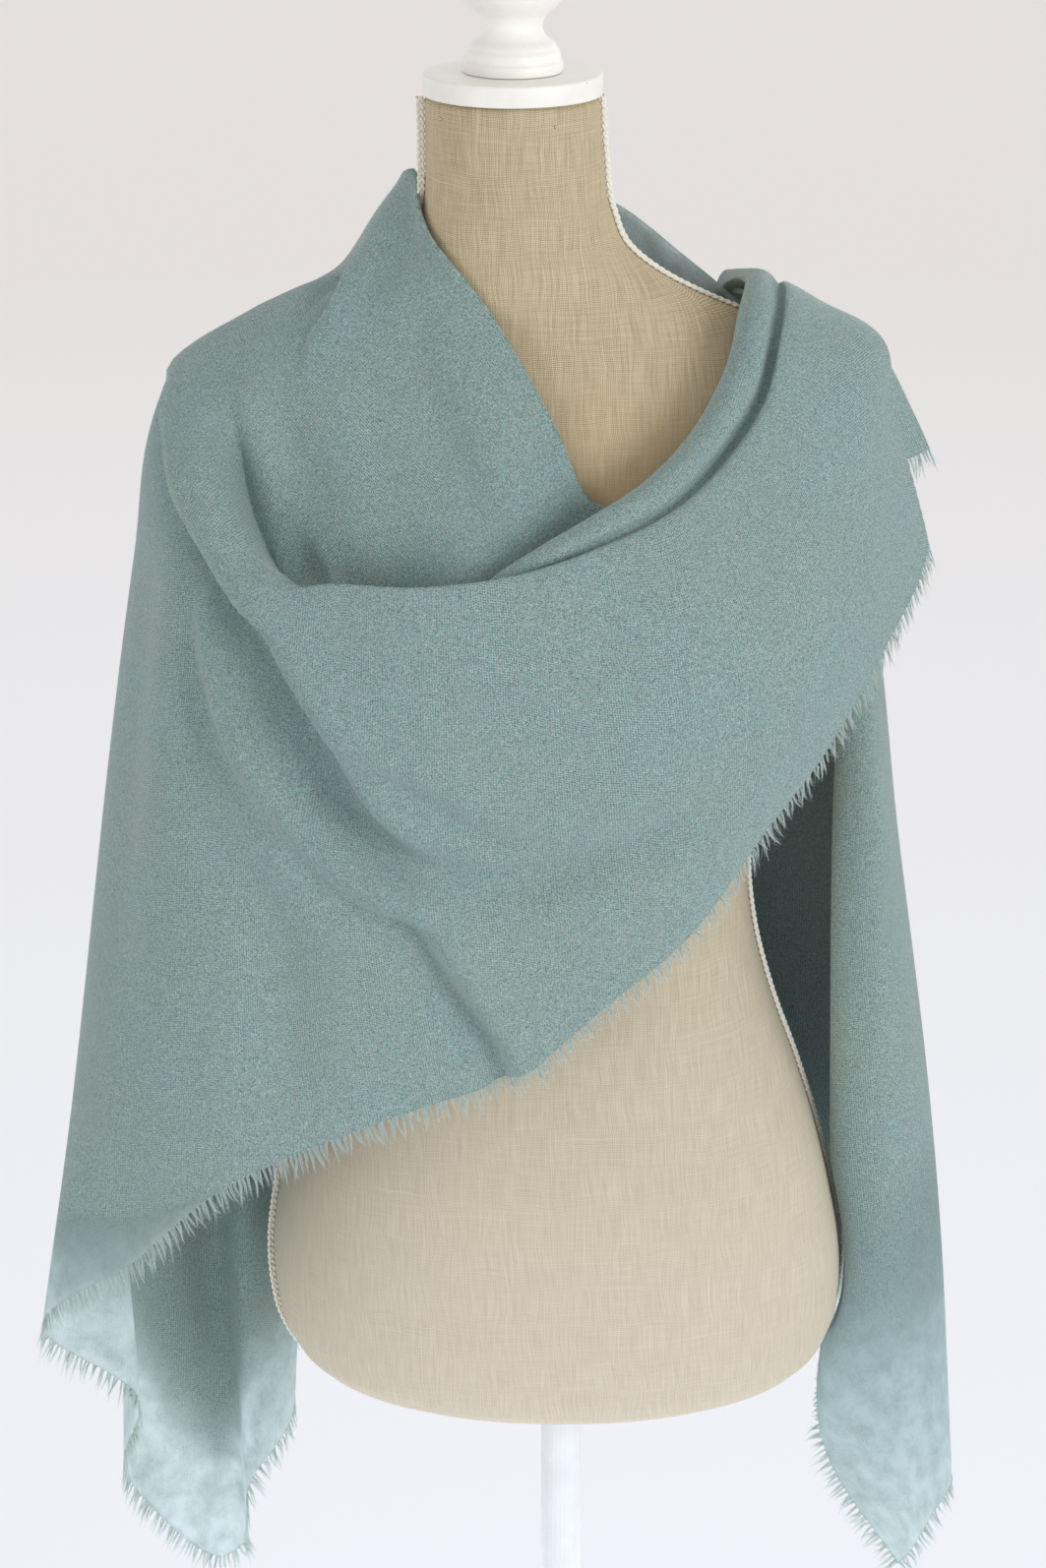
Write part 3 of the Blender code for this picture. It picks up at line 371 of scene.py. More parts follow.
SKY = ((0.0, (0.40, 0.41, 0.43)), (0.38, (0.74, 0.75, 0.76)), (0.52, (0.90, 0.90, 0.90)),
       (0.7, (0.78, 0.77, 0.755)), (1.0, (0.60, 0.59, 0.575)))    # from below to above
SKY_BEHIND = 0.22     # how much stronger it is from behind the form, and weaker from in front
FLOOR_GREY = 0.35
FLOOR_GLOW = ((0.58, 0.60, 0.655), (0.495, 0.465, 0.455))    # near and far
FLOOR_GLOW_REACH = (0.7, 6.0)     # metres from the stand
FLOOR_HALF = 30       # metres
LAMPS = (            # name, place, target, diameter, power, colour; places in metres
    ("window", (2.3, -2.3, 1.7), (0.0, 0.0, 0.95), 1.6, 46, (0.93, 0.975, 1.0)),
    ("low_fill", (-1.6, -2.0, 0.5), (-0.1, 0.0, 0.8), 1.4, 13, (0.95, 0.98, 1.0)),
    ("floor_bounce", (0.0, 0.0, 0.03), (0.0, 0.0, 1.0), 1.4, 5, (0.95, 0.98, 1.0)),
)
CAMERA_AT = (-0.025, -2.2, 1.788)
CAMERA_TILT = 70      # degrees up from straight down
CAMERA_LENS = 87.18
CAMERA_SENSOR = 36


# ---------------------------------------------------------------- curves and nets
def hermite(knots, values, steps):
    """Smooth curve through rows of values, with a number of steps for each span."""
    span = np.diff(knots)
    slope = np.diff(values, axis=0) / span.reshape((-1,) + (1,) * (values.ndim - 1))
    tangent = np.empty_like(values)
    tangent[0], tangent[-1] = slope[0], slope[-1]
    for i in range(1, len(values) - 1):
        tangent[i] = (slope[i - 1] * span[i] + slope[i] * span[i - 1]) / (span[i - 1] + span[i])
    curve = []
    for i, count in enumerate(steps):
        for t in np.arange(count) / count:
            start = (2 * t ** 3 - 3 * t ** 2 + 1) * values[i]
            start = start + (t ** 3 - 2 * t ** 2 + t) * span[i] * tangent[i]
            end = (3 * t ** 2 - 2 * t ** 3) * values[i + 1] + (t ** 3 - t ** 2) * span[i] * tangent[i + 1]
            curve.append(start + end)
    curve.append(values[-1])
    return np.array(curve)


def summed(steps):
    """Running total of steps, from nought."""
    return np.concatenate(([0.0], np.cumsum(steps)))


def mean_steps(net):
    """Mean distance between each row of a net and the next."""
    return np.linalg.norm(np.diff(net, axis=0), axis=2).mean(axis=1)


def knots_of(net):
    """Knots spaced by the square root of the mean distance between neighbouring rows."""
    return summed(np.sqrt(mean_steps(net)))


def running(points, axis=0):
    """Length run so far along a line of points, or along one axis of a net of them."""
    steps = np.linalg.norm(np.diff(points, axis=axis), axis=-1)
    start = np.zeros_like(np.take(steps, [0], axis=axis))
    return np.concatenate((start, np.cumsum(steps, axis=axis)), axis=axis)


def spaced(values, run, places):
    """Rows of values read off at places along a run."""
    return np.stack([np.interp(places, run, column) for column in values.T], axis=1)


def bell(far, width):
    """One in the middle, dying away to each side over a width."""
    return np.exp(-(far / width) ** 2)


def unit(vectors):
    return vectors / np.maximum(np.linalg.norm(vectors, axis=-1, keepdims=True), 1e-12)


def net_way(net, axis):
    """Direction of the net along one of its axes at each point, halfway between its two steps there."""
    steps = unit(np.diff(net, axis=axis))
    first = np.take(steps, [0], axis=axis)
    last = np.take(steps, [-1], axis=axis)
    return unit(np.concatenate((first, steps), axis=axis) + np.concatenate((steps, last), axis=axis))


def net_normals(net):
    """Normals of a net of points, pointing out of the garment."""
    return unit(np.cross(net_way(net, 1), net_way(net, 0)))


def relax(net, times, edges=False):
    """Softens a net, and its top and bottom edges along their own run if edges is set."""
    for _ in range(times):
        soft = net.copy()
        around = (net[:-2, 1:-1] + net[2:, 1:-1] + net[1:-1, :-2] + net[1:-1, 2:]) / 4
        soft[1:-1, 1:-1] = (net[1:-1, 1:-1] + around) / 2
        if edges:
            for j in (0, -1):
                soft[1:-1, j] = (2 * net[1:-1, j] + net[:-2, j] + net[2:, j]) / 4
        net = soft
    return net


# ---------------------------------------------------------------- the form's shape
def lean_at(height):
    """Middle of the form at a height, which leans to the side and comes forward at the neck."""
    up = (height - FORM_BOTTOM) / (NECK_TOP - FORM_BOTTOM)
    forward = max(0.0, (height - NECK_START) / (NECK_TOP - NECK_START))
    return NECK_LEAN * up, NECK_FORWARD * forward


def form_point(ring, turn):
    """Point of the form on a ring, at a turn in radians from +X."""
    height, half, front, back, square = ring
    across, deep = math.cos(turn), math.sin(turn)
    x = half * math.copysign(abs(across) ** (2 / square), across)
    y = (back if deep > 0 else front) * math.copysign(abs(deep) ** (2 / square), deep)
    if deep < 0:
        rise = math.exp(-((height - BUST["height"]) / BUST["rise"]) ** 2)
        cups = sum(math.exp(-((x + side * BUST["from_middle"]) / BUST["width"]) ** 2) for side in (-1, 1))
        y -= BUST["depth"] * rise * cups * min(1.0, -deep * BUST["fade"])
    middle_x, middle_y = lean_at(height)
    return ((middle_x + x) * MM, (middle_y + y) * MM, height * MM)


def form_rows(steps, first=0):
    """Rows of the form's table from one of them up, with a number of steps between them."""
    rows = np.array(FORM_RINGS[first:], dtype=float)
    return hermite(rows[:, 0], rows, [steps] * (len(rows) - 1))


def form_rings(sides, steps):
    """Rings of points round the form, a number of them for each row of the table."""
    return [[form_point(row, 2 * math.pi * k / sides) for k in range(sides)] for row in form_rows(steps)]


def skin_rings(rings):
    """Vertices and faces of a closed body through rings, from the bottom up."""
    sides = len(rings[0])
    verts = [point for ring in rings for point in ring]
    faces = []
    for low in range(0, (len(rings) - 1) * sides, sides):
        for k in range(sides):
            turn = (k + 1) % sides
            faces.append((low + k, low + turn, low + sides + turn, low + sides + k))
    last = (len(rings) - 1) * sides
    verts += [tuple(np.mean(rings[0], axis=0)), tuple(np.mean(rings[-1], axis=0))]
    for k in range(sides):
        turn = (k + 1) % sides
        faces.append((len(verts) - 2, turn, k))
        faces.append((len(verts) - 1, last + k, last + turn))
    return verts, faces


def turned(profile, sides, middle=(0.0, 0.0)):
    """Body turned round an upright axis through middle."""
    turns = [2 * math.pi * k / sides for k in range(sides)]
    rings = []
    for radius, height in profile:
        around = [(middle[0] + radius * math.cos(a), middle[1] + radius * math.sin(a)) for a in turns]
        rings.append([(x * MM, y * MM, height * MM) for x, y in around])
    return skin_rings(rings)


# ---------------------------------------------------------------- the shawl's shape
def place(section, past=0.0):
    """Position of a named section along the cloth."""
    return SECTIONS.index(section) + past


def push_off(net, tree, gaps):
    """Moves each point that is nearer the form than its gap straight out to it."""
    clear = net.copy()
    for i, j in np.ndindex(gaps.shape):
        point = Vector(net[i, j])
        at, normal, _, distance = tree.find_nearest(point, FORM_SEARCH * MM)
        if at is None:
            continue
        height = distance if (point - at).dot(normal) >= 0 else -distance
        if height < gaps[i, j]:
            clear[i, j] = at + normal * gaps[i, j]
    return clear


def layer_gaps(sections, rails):
    """Least distance from the form at each point of the net, in metres."""
    on_chest = np.clip((sections - place("left_front", CHEST_START)) / CHEST_SPAN, 0, 1)[:, None]
    on_end = np.clip(sections - place("right_low"), 0, 1)[:, None]
    outer = np.clip(rails - RAILS.index("valley"), 0, 1)[None, :]
    chest = FIRST_LAYER + (OUTER_LAYER - FIRST_LAYER) * on_chest * outer
    end = FIRST_LAYER + (SECOND_LAYER - FIRST_LAYER) * on_end
    end = end + (OUTER_LAYER - SECOND_LAYER) * on_end * outer
    return np.maximum(chest, end) * MM


def finely(steps):
    """Places of a net's lines, counted in the table's rows or columns."""
    return np.array([at + k / count for at, count in enumerate(steps) for k in range(count)] + [len(steps)])


def net_at(net, sections, rails, section, rail):
    """Point of the net at a position along and across it."""
    i = min(int(np.searchsorted(sections, section, "right")) - 1, len(sections) - 2)
    j = min(int(np.searchsorted(rails, rail, "right")) - 1, len(rails) - 2)
    a = (section - sections[i]) / (sections[i + 1] - sections[i])
    b = (rail - rails[j]) / (rails[j + 1] - rails[j])
    near = net[i, j] * (1 - b) + net[i, j + 1] * b
    far = net[i + 1, j] * (1 - b) + net[i + 1, j + 1] * b
    return near * (1 - a) + far * a


def fold_height(side, half_width, height, drop, drop_width):
    """Height of a fold at a distance to its side, where a drop lies at distances below zero."""
    far = np.abs(side)
    crown = height * bell(far, half_width)
    if not drop:
        return crown
    fall = bell(far, DROP_STEEPNESS * drop_width)
    hollow = (height + drop) * (1 - fall) * np.exp(-np.maximum(far - drop_width, 0) / drop_width)
    sunk = height * (1 - bell(far, DROP_SPREAD * drop_width))
    return np.where(side < 0, height - hollow - sunk, crown)


def add_folds(net, sections, rails):
    """Raises or sinks the cloth along each fold, where the cloth runs beside that fold."""
    normals = net_normals(net)
    lift = np.zeros(net.shape[:2])
    for _, *profile, places in FOLDS:
        stops = np.array([(place(section, past), rail, share) for section, past, rail, share in places])
        run = hermite(np.arange(len(stops)), stops, [FOLD_STEPS] * (len(stops) - 1))
        points = np.array([net_at(net, sections, rails, s, r) for s, r, _ in run])
        along = unit(np.gradient(points, axis=0))
        near_s = (sections > run[:, 0].min() - FOLD_REACH) & (sections < run[:, 0].max() + FOLD_REACH)
        near_r = (rails > run[:, 1].min() - FOLD_REACH) & (rails < run[:, 1].max() + FOLD_REACH)
        box = np.ix_(near_s, near_r)
        offset = net[box][:, :, None] - points
        distance = np.linalg.norm(offset, axis=3)
        nearest = distance.argmin(axis=2)
        closest = np.take_along_axis(offset, nearest[:, :, None, None], axis=2)[:, :, 0]
        side = np.sign(np.sum(np.cross(along[nearest], closest) * normals[box], axis=2))
        aside = np.maximum(np.abs(sections[near_s][:, None] - run[nearest, 0]),
                           np.abs(rails[near_r][None, :] - run[nearest, 1]))
        share = run[nearest, 2] * np.clip((FOLD_REACH - aside) / FOLD_FADE, 0, 1)
        lift[box] += share * MM * fold_height(side * distance.min(axis=2) / MM, *profile)
    return net + normals * lift[:, :, None]


def shawl_net(tree):
    """The cloth's middle surface as a fine net, with the place of each of its rows and columns."""
    table = np.array([row[1:] for row in ROWS], dtype=float) * MM
    by_rail = np.swapaxes(table, 0, 1)
    by_section = np.swapaxes(hermite(knots_of(by_rail), by_rail, RAIL_STEPS), 0, 1)
    net = hermite(knots_of(by_section), by_section, SECTION_STEPS)
    sections, rails = finely(SECTION_STEPS), finely(RAIL_STEPS)
    gaps = layer_gaps(sections, rails)
    net = push_off(relax(net, SHAPE_SOFTENING), tree, gaps)
    net = add_folds(net, sections, rails)
    net = push_off(relax(net, FOLD_SOFTENING, edges=True), tree, gaps)
    return net, sections, rails


# ---------------------------------------------------------------- pieces of mesh
def add_object(name, data):
    """Object of the scene with a mesh, lamp or camera as its data."""
    made = bpy.data.objects.new(name, data)
    bpy.context.scene.collection.objects.link(made)
    return made


def add_mesh(name, verts, faces, finish, slot, *nodes, uv=None):
    """Visible piece that rides on the stand and may stand for nodes of the frame."""
    mesh = bpy.data.meshes.new(name)
    mesh.from_pydata([tuple(v) for v in verts], [], [tuple(f) for f in faces])
    if uv is not None:
        layer = mesh.uv_layers.new(name="cloth")
        loops = np.empty(len(mesh.loops), dtype=np.int32)
        mesh.loops.foreach_get("vertex_index", loops)
        layer.data.foreach_set("uv", np.asarray(uv, dtype=np.float32)[loops].ravel())
    mesh.materials.append(finish)
    mesh.shade_smooth()
    piece = add_object(name, mesh)
    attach(piece, "root")
    if nodes:
        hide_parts(*nodes)
    return piece


def grid_faces(rows, across, start=0, flip=False):
    """Four-sided faces of a grid of vertices."""
    a = (np.arange(rows - 1)[:, None] * across + np.arange(across - 1)[None, :]).ravel() + start
    faces = np.stack((a, a + across, a + across + 1, a + 1), axis=1)
    return faces[:, ::-1] if flip else faces


def cloth_uv(net):
    """Place of each point on the flat cloth, in metres."""
    down = running(net, 1)
    along = summed(mean_steps(net))
    return np.stack((np.broadcast_to(along[:, None], down.shape), down), axis=2)


def cloth_shell(net, thickness):
    """Closed shell about a net of points, with rounded edges, and the point each vertex belongs to."""
    rows, across = net.shape[:2]
    half = net_normals(net) * thickness[:, :, None] / 2
    outer, inner = net + half, net - half
    ring = [(i, 0) for i in range(rows)] + [(rows - 1, j) for j in range(1, across)]
    ring += [(i, across - 1) for i in range(rows - 2, -1, -1)] + [(0, j) for j in range(across - 2, 0, -1)]
    along, down = net_way(net, 0), net_way(net, 1)
    rim = []
    for i, j in ring:
        away = (along[i, j] if i == rows - 1 else -along[i, j] if i == 0 else 0.0)
        away = away + (down[i, j] if j == across - 1 else -down[i, j] if j == 0 else 0.0)
        rim.append(net[i, j] + unit(np.asarray(away)) * thickness[i, j] / 2)
    verts = np.concatenate((outer.reshape(-1, 3), inner.reshape(-1, 3), np.array(rim)))
    count = rows * across
    owner = np.concatenate((np.arange(count), np.arange(count), [i * across + j for i, j in ring]))
    faces = list(grid_faces(rows, across, flip=True)) + list(grid_faces(rows, across, start=count))
    for k, (i, j) in enumerate(ring):
        after = (k + 1) % len(ring)
        a, b = i * across + j, ring[after][0] * across + ring[after][1]
        faces.append((a, b, 2 * count + after, 2 * count + k))
        faces.append((2 * count + k, 2 * count + after, count + b, count + a))
    return verts, faces, owner


def tubes(paths, radii, sides):
    """Tapered tubes along many paths at once, and a map of each vertex: along its tube, and the tube."""
    count, steps = paths.shape[:2]
    along = unit(np.gradient(paths, axis=1))
    aside = unit(np.cross(along, np.broadcast_to(np.array(ANY_WAY), along.shape)))
    over = np.cross(along, aside)
    turns = 2 * np.pi * np.arange(sides) / sides
    ring = aside[:, :, None] * np.cos(turns)[:, None] + over[:, :, None] * np.sin(turns)[:, None]
    verts = (paths[:, :, None] + ring * radii[:, :, None, None]).reshape(-1, 3)
    step = np.arange(steps - 1)[:, None] * sides
    k = np.arange(sides)[None, :]
    after = (k + 1) % sides
    one = np.stack((step + k, step + after, step + sides + after, step + sides + k), axis=2)
    start = np.arange(count)[:, None, None] * steps * sides
    faces = (one.reshape(-1, 4)[None] + start).reshape(-1, 4)
    far = np.broadcast_to(np.linspace(0, 1, steps)[None, :, None], (count, steps, sides)).ravel()
    own = np.repeat(np.arange(count) * OWN_SHIFT % 1, steps * sides)
    return verts, faces, np.stack((far, own), axis=1)


# ---------------------------------------------------------------- materials
class Nodes:
    """Short calls for the nodes of a material or of the world."""

    def __init__(self, owner):
        owner.use_nodes = True
        self.owner = owner
        self.tree = owner.node_tree

    def put(self, socket, value):
        """Sets a socket to a plain value or links it to another socket."""
        if isinstance(value, bpy.types.NodeSocket):
            self.tree.links.new(value, socket)
        else:
            socket.default_value = value

    def node(self, kind, inputs=(), **settings):
        """New node with its settings, and with values or links for its inputs."""
        made = self.tree.nodes.new(kind)
        for name, value in settings.items():
            setattr(made, name, value)
        for name, value in dict(inputs).items():
            self.put(made.inputs[name], value)
        return made

    def flat_place(self):
        return self.node("ShaderNodeUVMap", uv_map="cloth").outputs["UV"]

    def attribute(self, name):
        return self.node("ShaderNodeAttribute", attribute_name=name).outputs["Fac"]

    def object_place(self):
        return self.node("ShaderNodeTexCoord").outputs["Object"]

    def split(self, place):
        return self.node("ShaderNodeSeparateXYZ", {"Vector": place}).outputs

    def vectors(self, operation, inputs, output="Vector"):
        return self.node("ShaderNodeVectorMath", inputs, operation=operation).outputs[output]

    def stretched(self, place, scale):
        return self.node("ShaderNodeMapping", {"Vector": place, "Scale": scale}).outputs["Vector"]

    def rotated(self, place, degrees):
        rotation = (0, 0, math.radians(degrees))
        return self.node("ShaderNodeMapping", {"Vector": place, "Rotation": rotation}).outputs["Vector"]

    def noise(self, place, scale=1.0, detail=2.0, roughness=0.5, output="Fac"):
        inputs = {"Vector": place, "Scale": scale, "Detail": detail, "Roughness": roughness}
        return self.node("ShaderNodeTexNoise", inputs).outputs[output]

    def wave(self, place, scale, distortion):
        inputs = {"Vector": place, "Scale": scale, "Distortion": distortion}
        return self.node("ShaderNodeTexWave", inputs, bands_direction="X").outputs["Fac"]

    def maths(self, operation, a, b, c=0.0, clamp=False):
        inputs = {0: a, 1: b, 2: c}
        return self.node("ShaderNodeMath", inputs, operation=operation, use_clamp=clamp).outputs["Value"]

    def plus(self, a, b, clamp=False):
        return self.maths("ADD", a, b, clamp=clamp)

    def times(self, a, b):
        return self.maths("MULTIPLY", a, b)

    def between(self, value, low, high, out_low=0.0, out_high=1.0):
        """Takes a value from one range to another, and no further."""
        inputs = {"Value": value, "From Min": low, "From Max": high, "To Min": out_low, "To Max": out_high}
        return self.node("ShaderNodeMapRange", inputs).outputs["Result"]

    def mix(self, factor, a, b, blend="MIX"):
        a, b = (c if isinstance(c, bpy.types.NodeSocket) else (*c, 1.0) for c in (a, b))
        inputs = {"Factor": factor, "A": a, "B": b}
        return self.node("ShaderNodeMix", inputs, data_type="RGBA", blend_type=blend).outputs["Result"]

    def bump(self, height, strength, distance):
        inputs = {"Height": height, "Strength": strength, "Distance": distance}
        return self.node("ShaderNodeBump", inputs).outputs["Normal"]


class Finish(Nodes):
    """Nodes of a new material."""

    def __init__(self, name):
        super().__init__(bpy.data.materials.new(name))

    def finished(self, colour, roughness, **others):
        """The material, once its surface is set; the other inputs have _ for a space in their names."""
        surface = self.tree.nodes["Principled BSDF"]
        for name, value in {"Base_Color": colour, "Roughness": roughness, **others}.items():
            self.put(surface.inputs[name.replace("_", " ")], value)
        return self.owner

    def let_through(self, share, colour):
        """Lets a share of the light behind through the surface."""
        surface = self.tree.nodes["Principled BSDF"].outputs["BSDF"]
        behind = self.node("ShaderNodeBsdfTranslucent", {"Color": (*colour, 1.0)}).outputs["BSDF"]
        both = self.node("ShaderNodeMixShader", {"Fac": share, 1: surface, 2: behind})
        self.put(self.tree.nodes["Material Output"].inputs["Surface"], both.outputs["Shader"])


def nap(weight, roughness, tint):
    """Inputs of a surface with a short nap and little gloss."""
    return {"Sheen_Weight": weight, "Sheen_Roughness": roughness, "Sheen_Tint": (*tint, 1.0),
            "Specular_IOR_Level": 0.15}


def cashmere_material():
    """Brushed fine weave of two yarn colours, with a short nap that hides it in places."""
    dark, pale, teal = (0.125, 0.195, 0.18), (0.545, 0.60, 0.565), (0.405, 0.62, 0.64)
    n = Finish("cashmere")
    flat, around = n.flat_place(), n.object_place()
    yarns = n.noise(around, 1350.0, 1.0, 0.6)
    fibres = n.noise(around, 620.0, 2.0, 0.6)
    warp = n.wave(n.rotated(flat, 4), WEAVE_SCALE, 3.0)
    weft = n.wave(n.rotated(flat, 94), WEAVE_SCALE, 3.0)
    weave = n.maths("SUBTRACT", n.maths("MAXIMUM", warp, weft), 0.7)
    shows = n.between(n.noise(flat, 14.0, 3.0), 0.36, 0.6, 0.10, 0.28)
    grain = n.plus(n.times(yarns, 0.7), n.times(fibres, 0.3))
    grain = n.between(n.maths("MULTIPLY_ADD", weave, shows, grain), 0.335, 0.675)
    light = n.mix(n.between(n.noise(around, 850.0, 1.0), 0.35, 0.65), pale, teal)
    drift = n.between(n.noise(around, 9.0, 3.0, 0.55), 0.3, 0.7)
    drifted = n.mix(drift, (1.03, 1.0, 0.95), (0.97, 1.0, 1.04))
    colour = n.mix(1.0, n.mix(grain, dark, light), drifted, "MULTIPLY")
    clouds = n.noise(n.stretched(flat, (70, 45, 1)), 1.0, 6.0, 0.7)
    thin = n.times(n.attribute("thin"), n.between(clouds, 0.35, 0.65, 0.6, 1.1))
    n.let_through(n.between(thin, 0.0, 1.0, 0.12, 0.86), (0.90, 0.965, 0.985))
    return n.finished(colour, 0.92, Normal=n.bump(grain, 0.5, 0.0006), **nap(0.7, 0.35, (0.90, 0.95, 0.97)))


def fringe_material():
    """Loose yarn ends, paler than the woven cloth."""
    n = Finish("fringe")
    tone = n.noise(n.stretched(n.flat_place(), (3, 40, 1)))
    colour = n.mix(n.between(tone, 0.3, 0.7), (0.65, 0.755, 0.73), (0.84, 0.92, 0.90))
    n.let_through(0.55, (0.92, 0.98, 0.98))
    return n.finished(colour, 0.9, **nap(0.4, 0.5, (0.90, 0.97, 0.97)))


def linen_material():
    """Plain-weave linen with slubs, mostly along the upright threads; painted light from below makes it
    paler towards the hips, and painted warm bounce light tints it about the chest.
    """
    n = Finish("linen")
    flat = n.flat_place()
    wander = n.vectors("SUBTRACT", {0: n.noise(flat, 28.0, output="Color"), 1: (0.5, 0.5, 0.5)})
    sway = n.vectors("SCALE", {0: wander, "Scale": 0.007})
    flat = n.vectors("ADD", {0: flat, 1: sway})

    def threads(*scale):
        return n.noise(n.stretched(flat, (*scale, 1)))

    def slub(low, *scale):
        return n.between(n.noise(n.stretched(flat, (*scale, 1)), 1.0, 1.0), low, 0.8)

    warp = n.wave(flat, LINEN_SCALE, 3.5)
    weft = n.wave(n.rotated(flat, 90), LINEN_SCALE, 3.5)
    uneven = n.maths("MULTIPLY_ADD", threads(40, 900), 0.3, n.times(threads(900, 40), 0.7))
    shows = n.between(n.noise(flat, 16.0), 0.35, 0.65, 0.3, 0.6)
    weave = n.times(n.maths("SUBTRACT", n.plus(warp, weft), 1.0), shows)
    weave = n.plus(weave, n.between(uneven, 0.36, 0.64, 0.3, 0.7), clamp=True)
    height = n.split(n.object_place())["Z"]
    # painted light from below: the linen gets paler and cooler towards the hips
    paler = n.between(height, *LINEN_PAINTED_LIGHT_BELOW)
    dark = n.mix(paler, (0.32, 0.245, 0.135), (0.49, 0.425, 0.33))
    light = n.mix(paler, (0.725, 0.61, 0.43), (0.715, 0.645, 0.525))
    body = n.mix(weave, dark, light)
    # painted warm bounce light: a warm tint about the chest, between the two heights
    painted_warm_bounce = n.times(*(n.between(height, *ends) for ends in LINEN_PAINTED_WARM_BOUNCE))
    body = n.mix(n.times(painted_warm_bounce, 0.6), body, (0.62, 0.44, 0.24))
    slubs = n.maths("MAXIMUM", slub(0.66, 620, 14), n.times(slub(0.64, 14, 620), 0.6))
    colour = n.mix(n.times(slubs, 0.4), body, (0.82, 0.76, 0.62))
    relief = n.plus(n.times(weave, 0.7), n.times(slubs, 0.5))
    return n.finished(colour, 0.88, Normal=n.bump(relief, 0.3, 0.0004), **nap(0.12, 0.5, (1.0, 0.97, 0.9)))


def braid_material():
    """Cream twisted cotton."""
    n = Finish("braid")
    tone = n.noise(n.object_place(), 900.0)
    colour = n.mix(n.between(tone, 0.3, 0.7), (0.78, 0.73, 0.64), (0.94, 0.91, 0.84))
    return n.finished(colour, 0.85, Normal=n.bump(tone, 0.2, 0.0003))


def painted_wood_material(name, dull, bright):
    """White satin paint with faint brush marks and small chips that show the wood."""
    n = Finish(name)
    around = n.object_place()
    brushed = n.noise(n.stretched(around, (14, 14, 220)), 1.0, 3.0)
    blotch = n.noise(around, 60.0, 4.0, 0.6)
    chips = n.between(n.noise(around, 230.0, 3.0, 0.7), 0.735, 0.75)
    paint = n.mix(n.between(blotch, 0.3, 0.7), dull, bright)
    colour = n.mix(n.times(chips, 0.75), paint, (0.42, 0.33, 0.22))
    gloss = n.between(blotch, 0.3, 0.7, 0.32, 0.5)
    return n.finished(colour, gloss, Normal=n.bump(brushed, 0.12, 0.0005))


def brass_material():
    """Dull brass of the tacks."""
    n = Finish("tack")
    spots = n.noise(n.object_place(), 700.0)
    return n.finished(n.mix(spots, (0.42, 0.33, 0.2), (0.62, 0.52, 0.36)), 0.4, Metallic=1.0)


# ---------------------------------------------------------------- the stand
def build_torso(linen):
    """Linen skin of the form, with its flat places measured round and up it."""
    rings = np.array(form_rings(FINE_SIDES, FINE_STEPS))
    turned_in = rings[-1] + (rings[-1].mean(axis=0) - rings[-1]) * TURNED_IN
    rings[-1, :, 2] -= TURN_HEIGHT * MM
    rings = np.concatenate((rings, turned_in[None]))
    rings = np.concatenate((rings, rings[:, :1]), axis=1)
    girth = running(rings, 1)
    front = FINE_SIDES * 3 // 4
    uv = np.stack((girth - girth[:, front:front + 1], rings[:, :, 2]), axis=2).reshape(-1, 2)
    verts = rings.reshape(-1, 3)
    faces = list(grid_faces(len(rings), FINE_SIDES + 1, flip=True))
    for ring in (0, len(rings) - 1):
        middle = len(verts)
        verts = np.concatenate((verts, rings[ring].mean(axis=0)[None]))
        uv = np.concatenate((uv, ((0.0, rings[ring, 0, 2]),)))
        start = ring * (FINE_SIDES + 1)
        for a in range(start, start + FINE_SIDES):
            faces.append((middle, a, a + 1) if ring else (middle, a + 1, a))
    add_mesh("linen_form", verts, faces, linen, "linen", "torso", uv=uv)


def rounded(profile):
    """A turned profile with its soft stretches rounded through its points."""
    points = np.array(profile, dtype=float)
    steps = np.linalg.norm(np.diff(points, axis=0), axis=1)
    return hermite(summed(steps ** TURNED_KNOTS), points, [TURNED_STEPS] * (len(points) - 1))


def turned_piece(name, profile, middle, finish, node):
    verts, faces = turned(profile, TURNED_SIDES, middle)
    piece = add_mesh(name, verts, faces, finish, "painted_wood", node)
    piece.data.set_sharp_from_angle(angle=math.radians(TURNED_CORNER))


def braid_path(turn):
    """Line of a side seam up the form, the ways across it and out from it, and the length run."""
    rows = form_rows(BRAID_ROW_STEPS, BRAID_START)
    path = np.array([form_point(row, turn) for row in rows])
    aside = np.array([form_point(row, turn + math.radians(1)) for row in rows])
    run, step = running(path), BRAID_STEP * MM
    even = np.linspace(0, run[-1] - step, int(run[-1] / step))
    path, aside = spaced(path, run, even), spaced(aside, run, even)
    along = unit(np.gradient(path, axis=0))
    out = unit(np.cross(unit(aside - path), along))
    return path, unit(np.cross(along, out)), out, even


def build_braids(cotton):
    """Plies woven flat along each side seam, which stand up on edge where nothing covers them."""
    flat_lift, edge_lift = BRAID_LIFT
    for name, degrees in BRAID_SEAMS.items():
        path, across, out, length = braid_path(math.radians(degrees))
        tilt = np.radians(np.interp(path[:, 2] / MM, *zip(*BRAID_STAND[name])))[:, None]
        wide = across * np.cos(tilt) + out * np.sin(tilt)
        flat = out * np.cos(tilt) - across * np.sin(tilt)
        middle = path + out * (flat_lift + edge_lift * np.sin(tilt)) * MM
        phase = 2 * math.pi * length / (BRAID_PITCH * MM)
        plies = []
        for ply in range(PLIES):
            turn = phase + ply * 2 * math.pi / PLIES
            swing = (np.sin(turn) * PLY_SWING * MM)[:, None]
            rise = (np.sin(2 * turn) * PLY_RISE * MM)[:, None]
            plies.append(middle + wide * swing + flat * rise)
        radii = np.full((PLIES, len(path)), PLY_RADIUS * MM)
        verts, faces, uv = tubes(np.array(plies), radii, PLY_SIDES)
        add_mesh(name + "_plies", verts, faces, cotton, "braid", name, uv=uv)


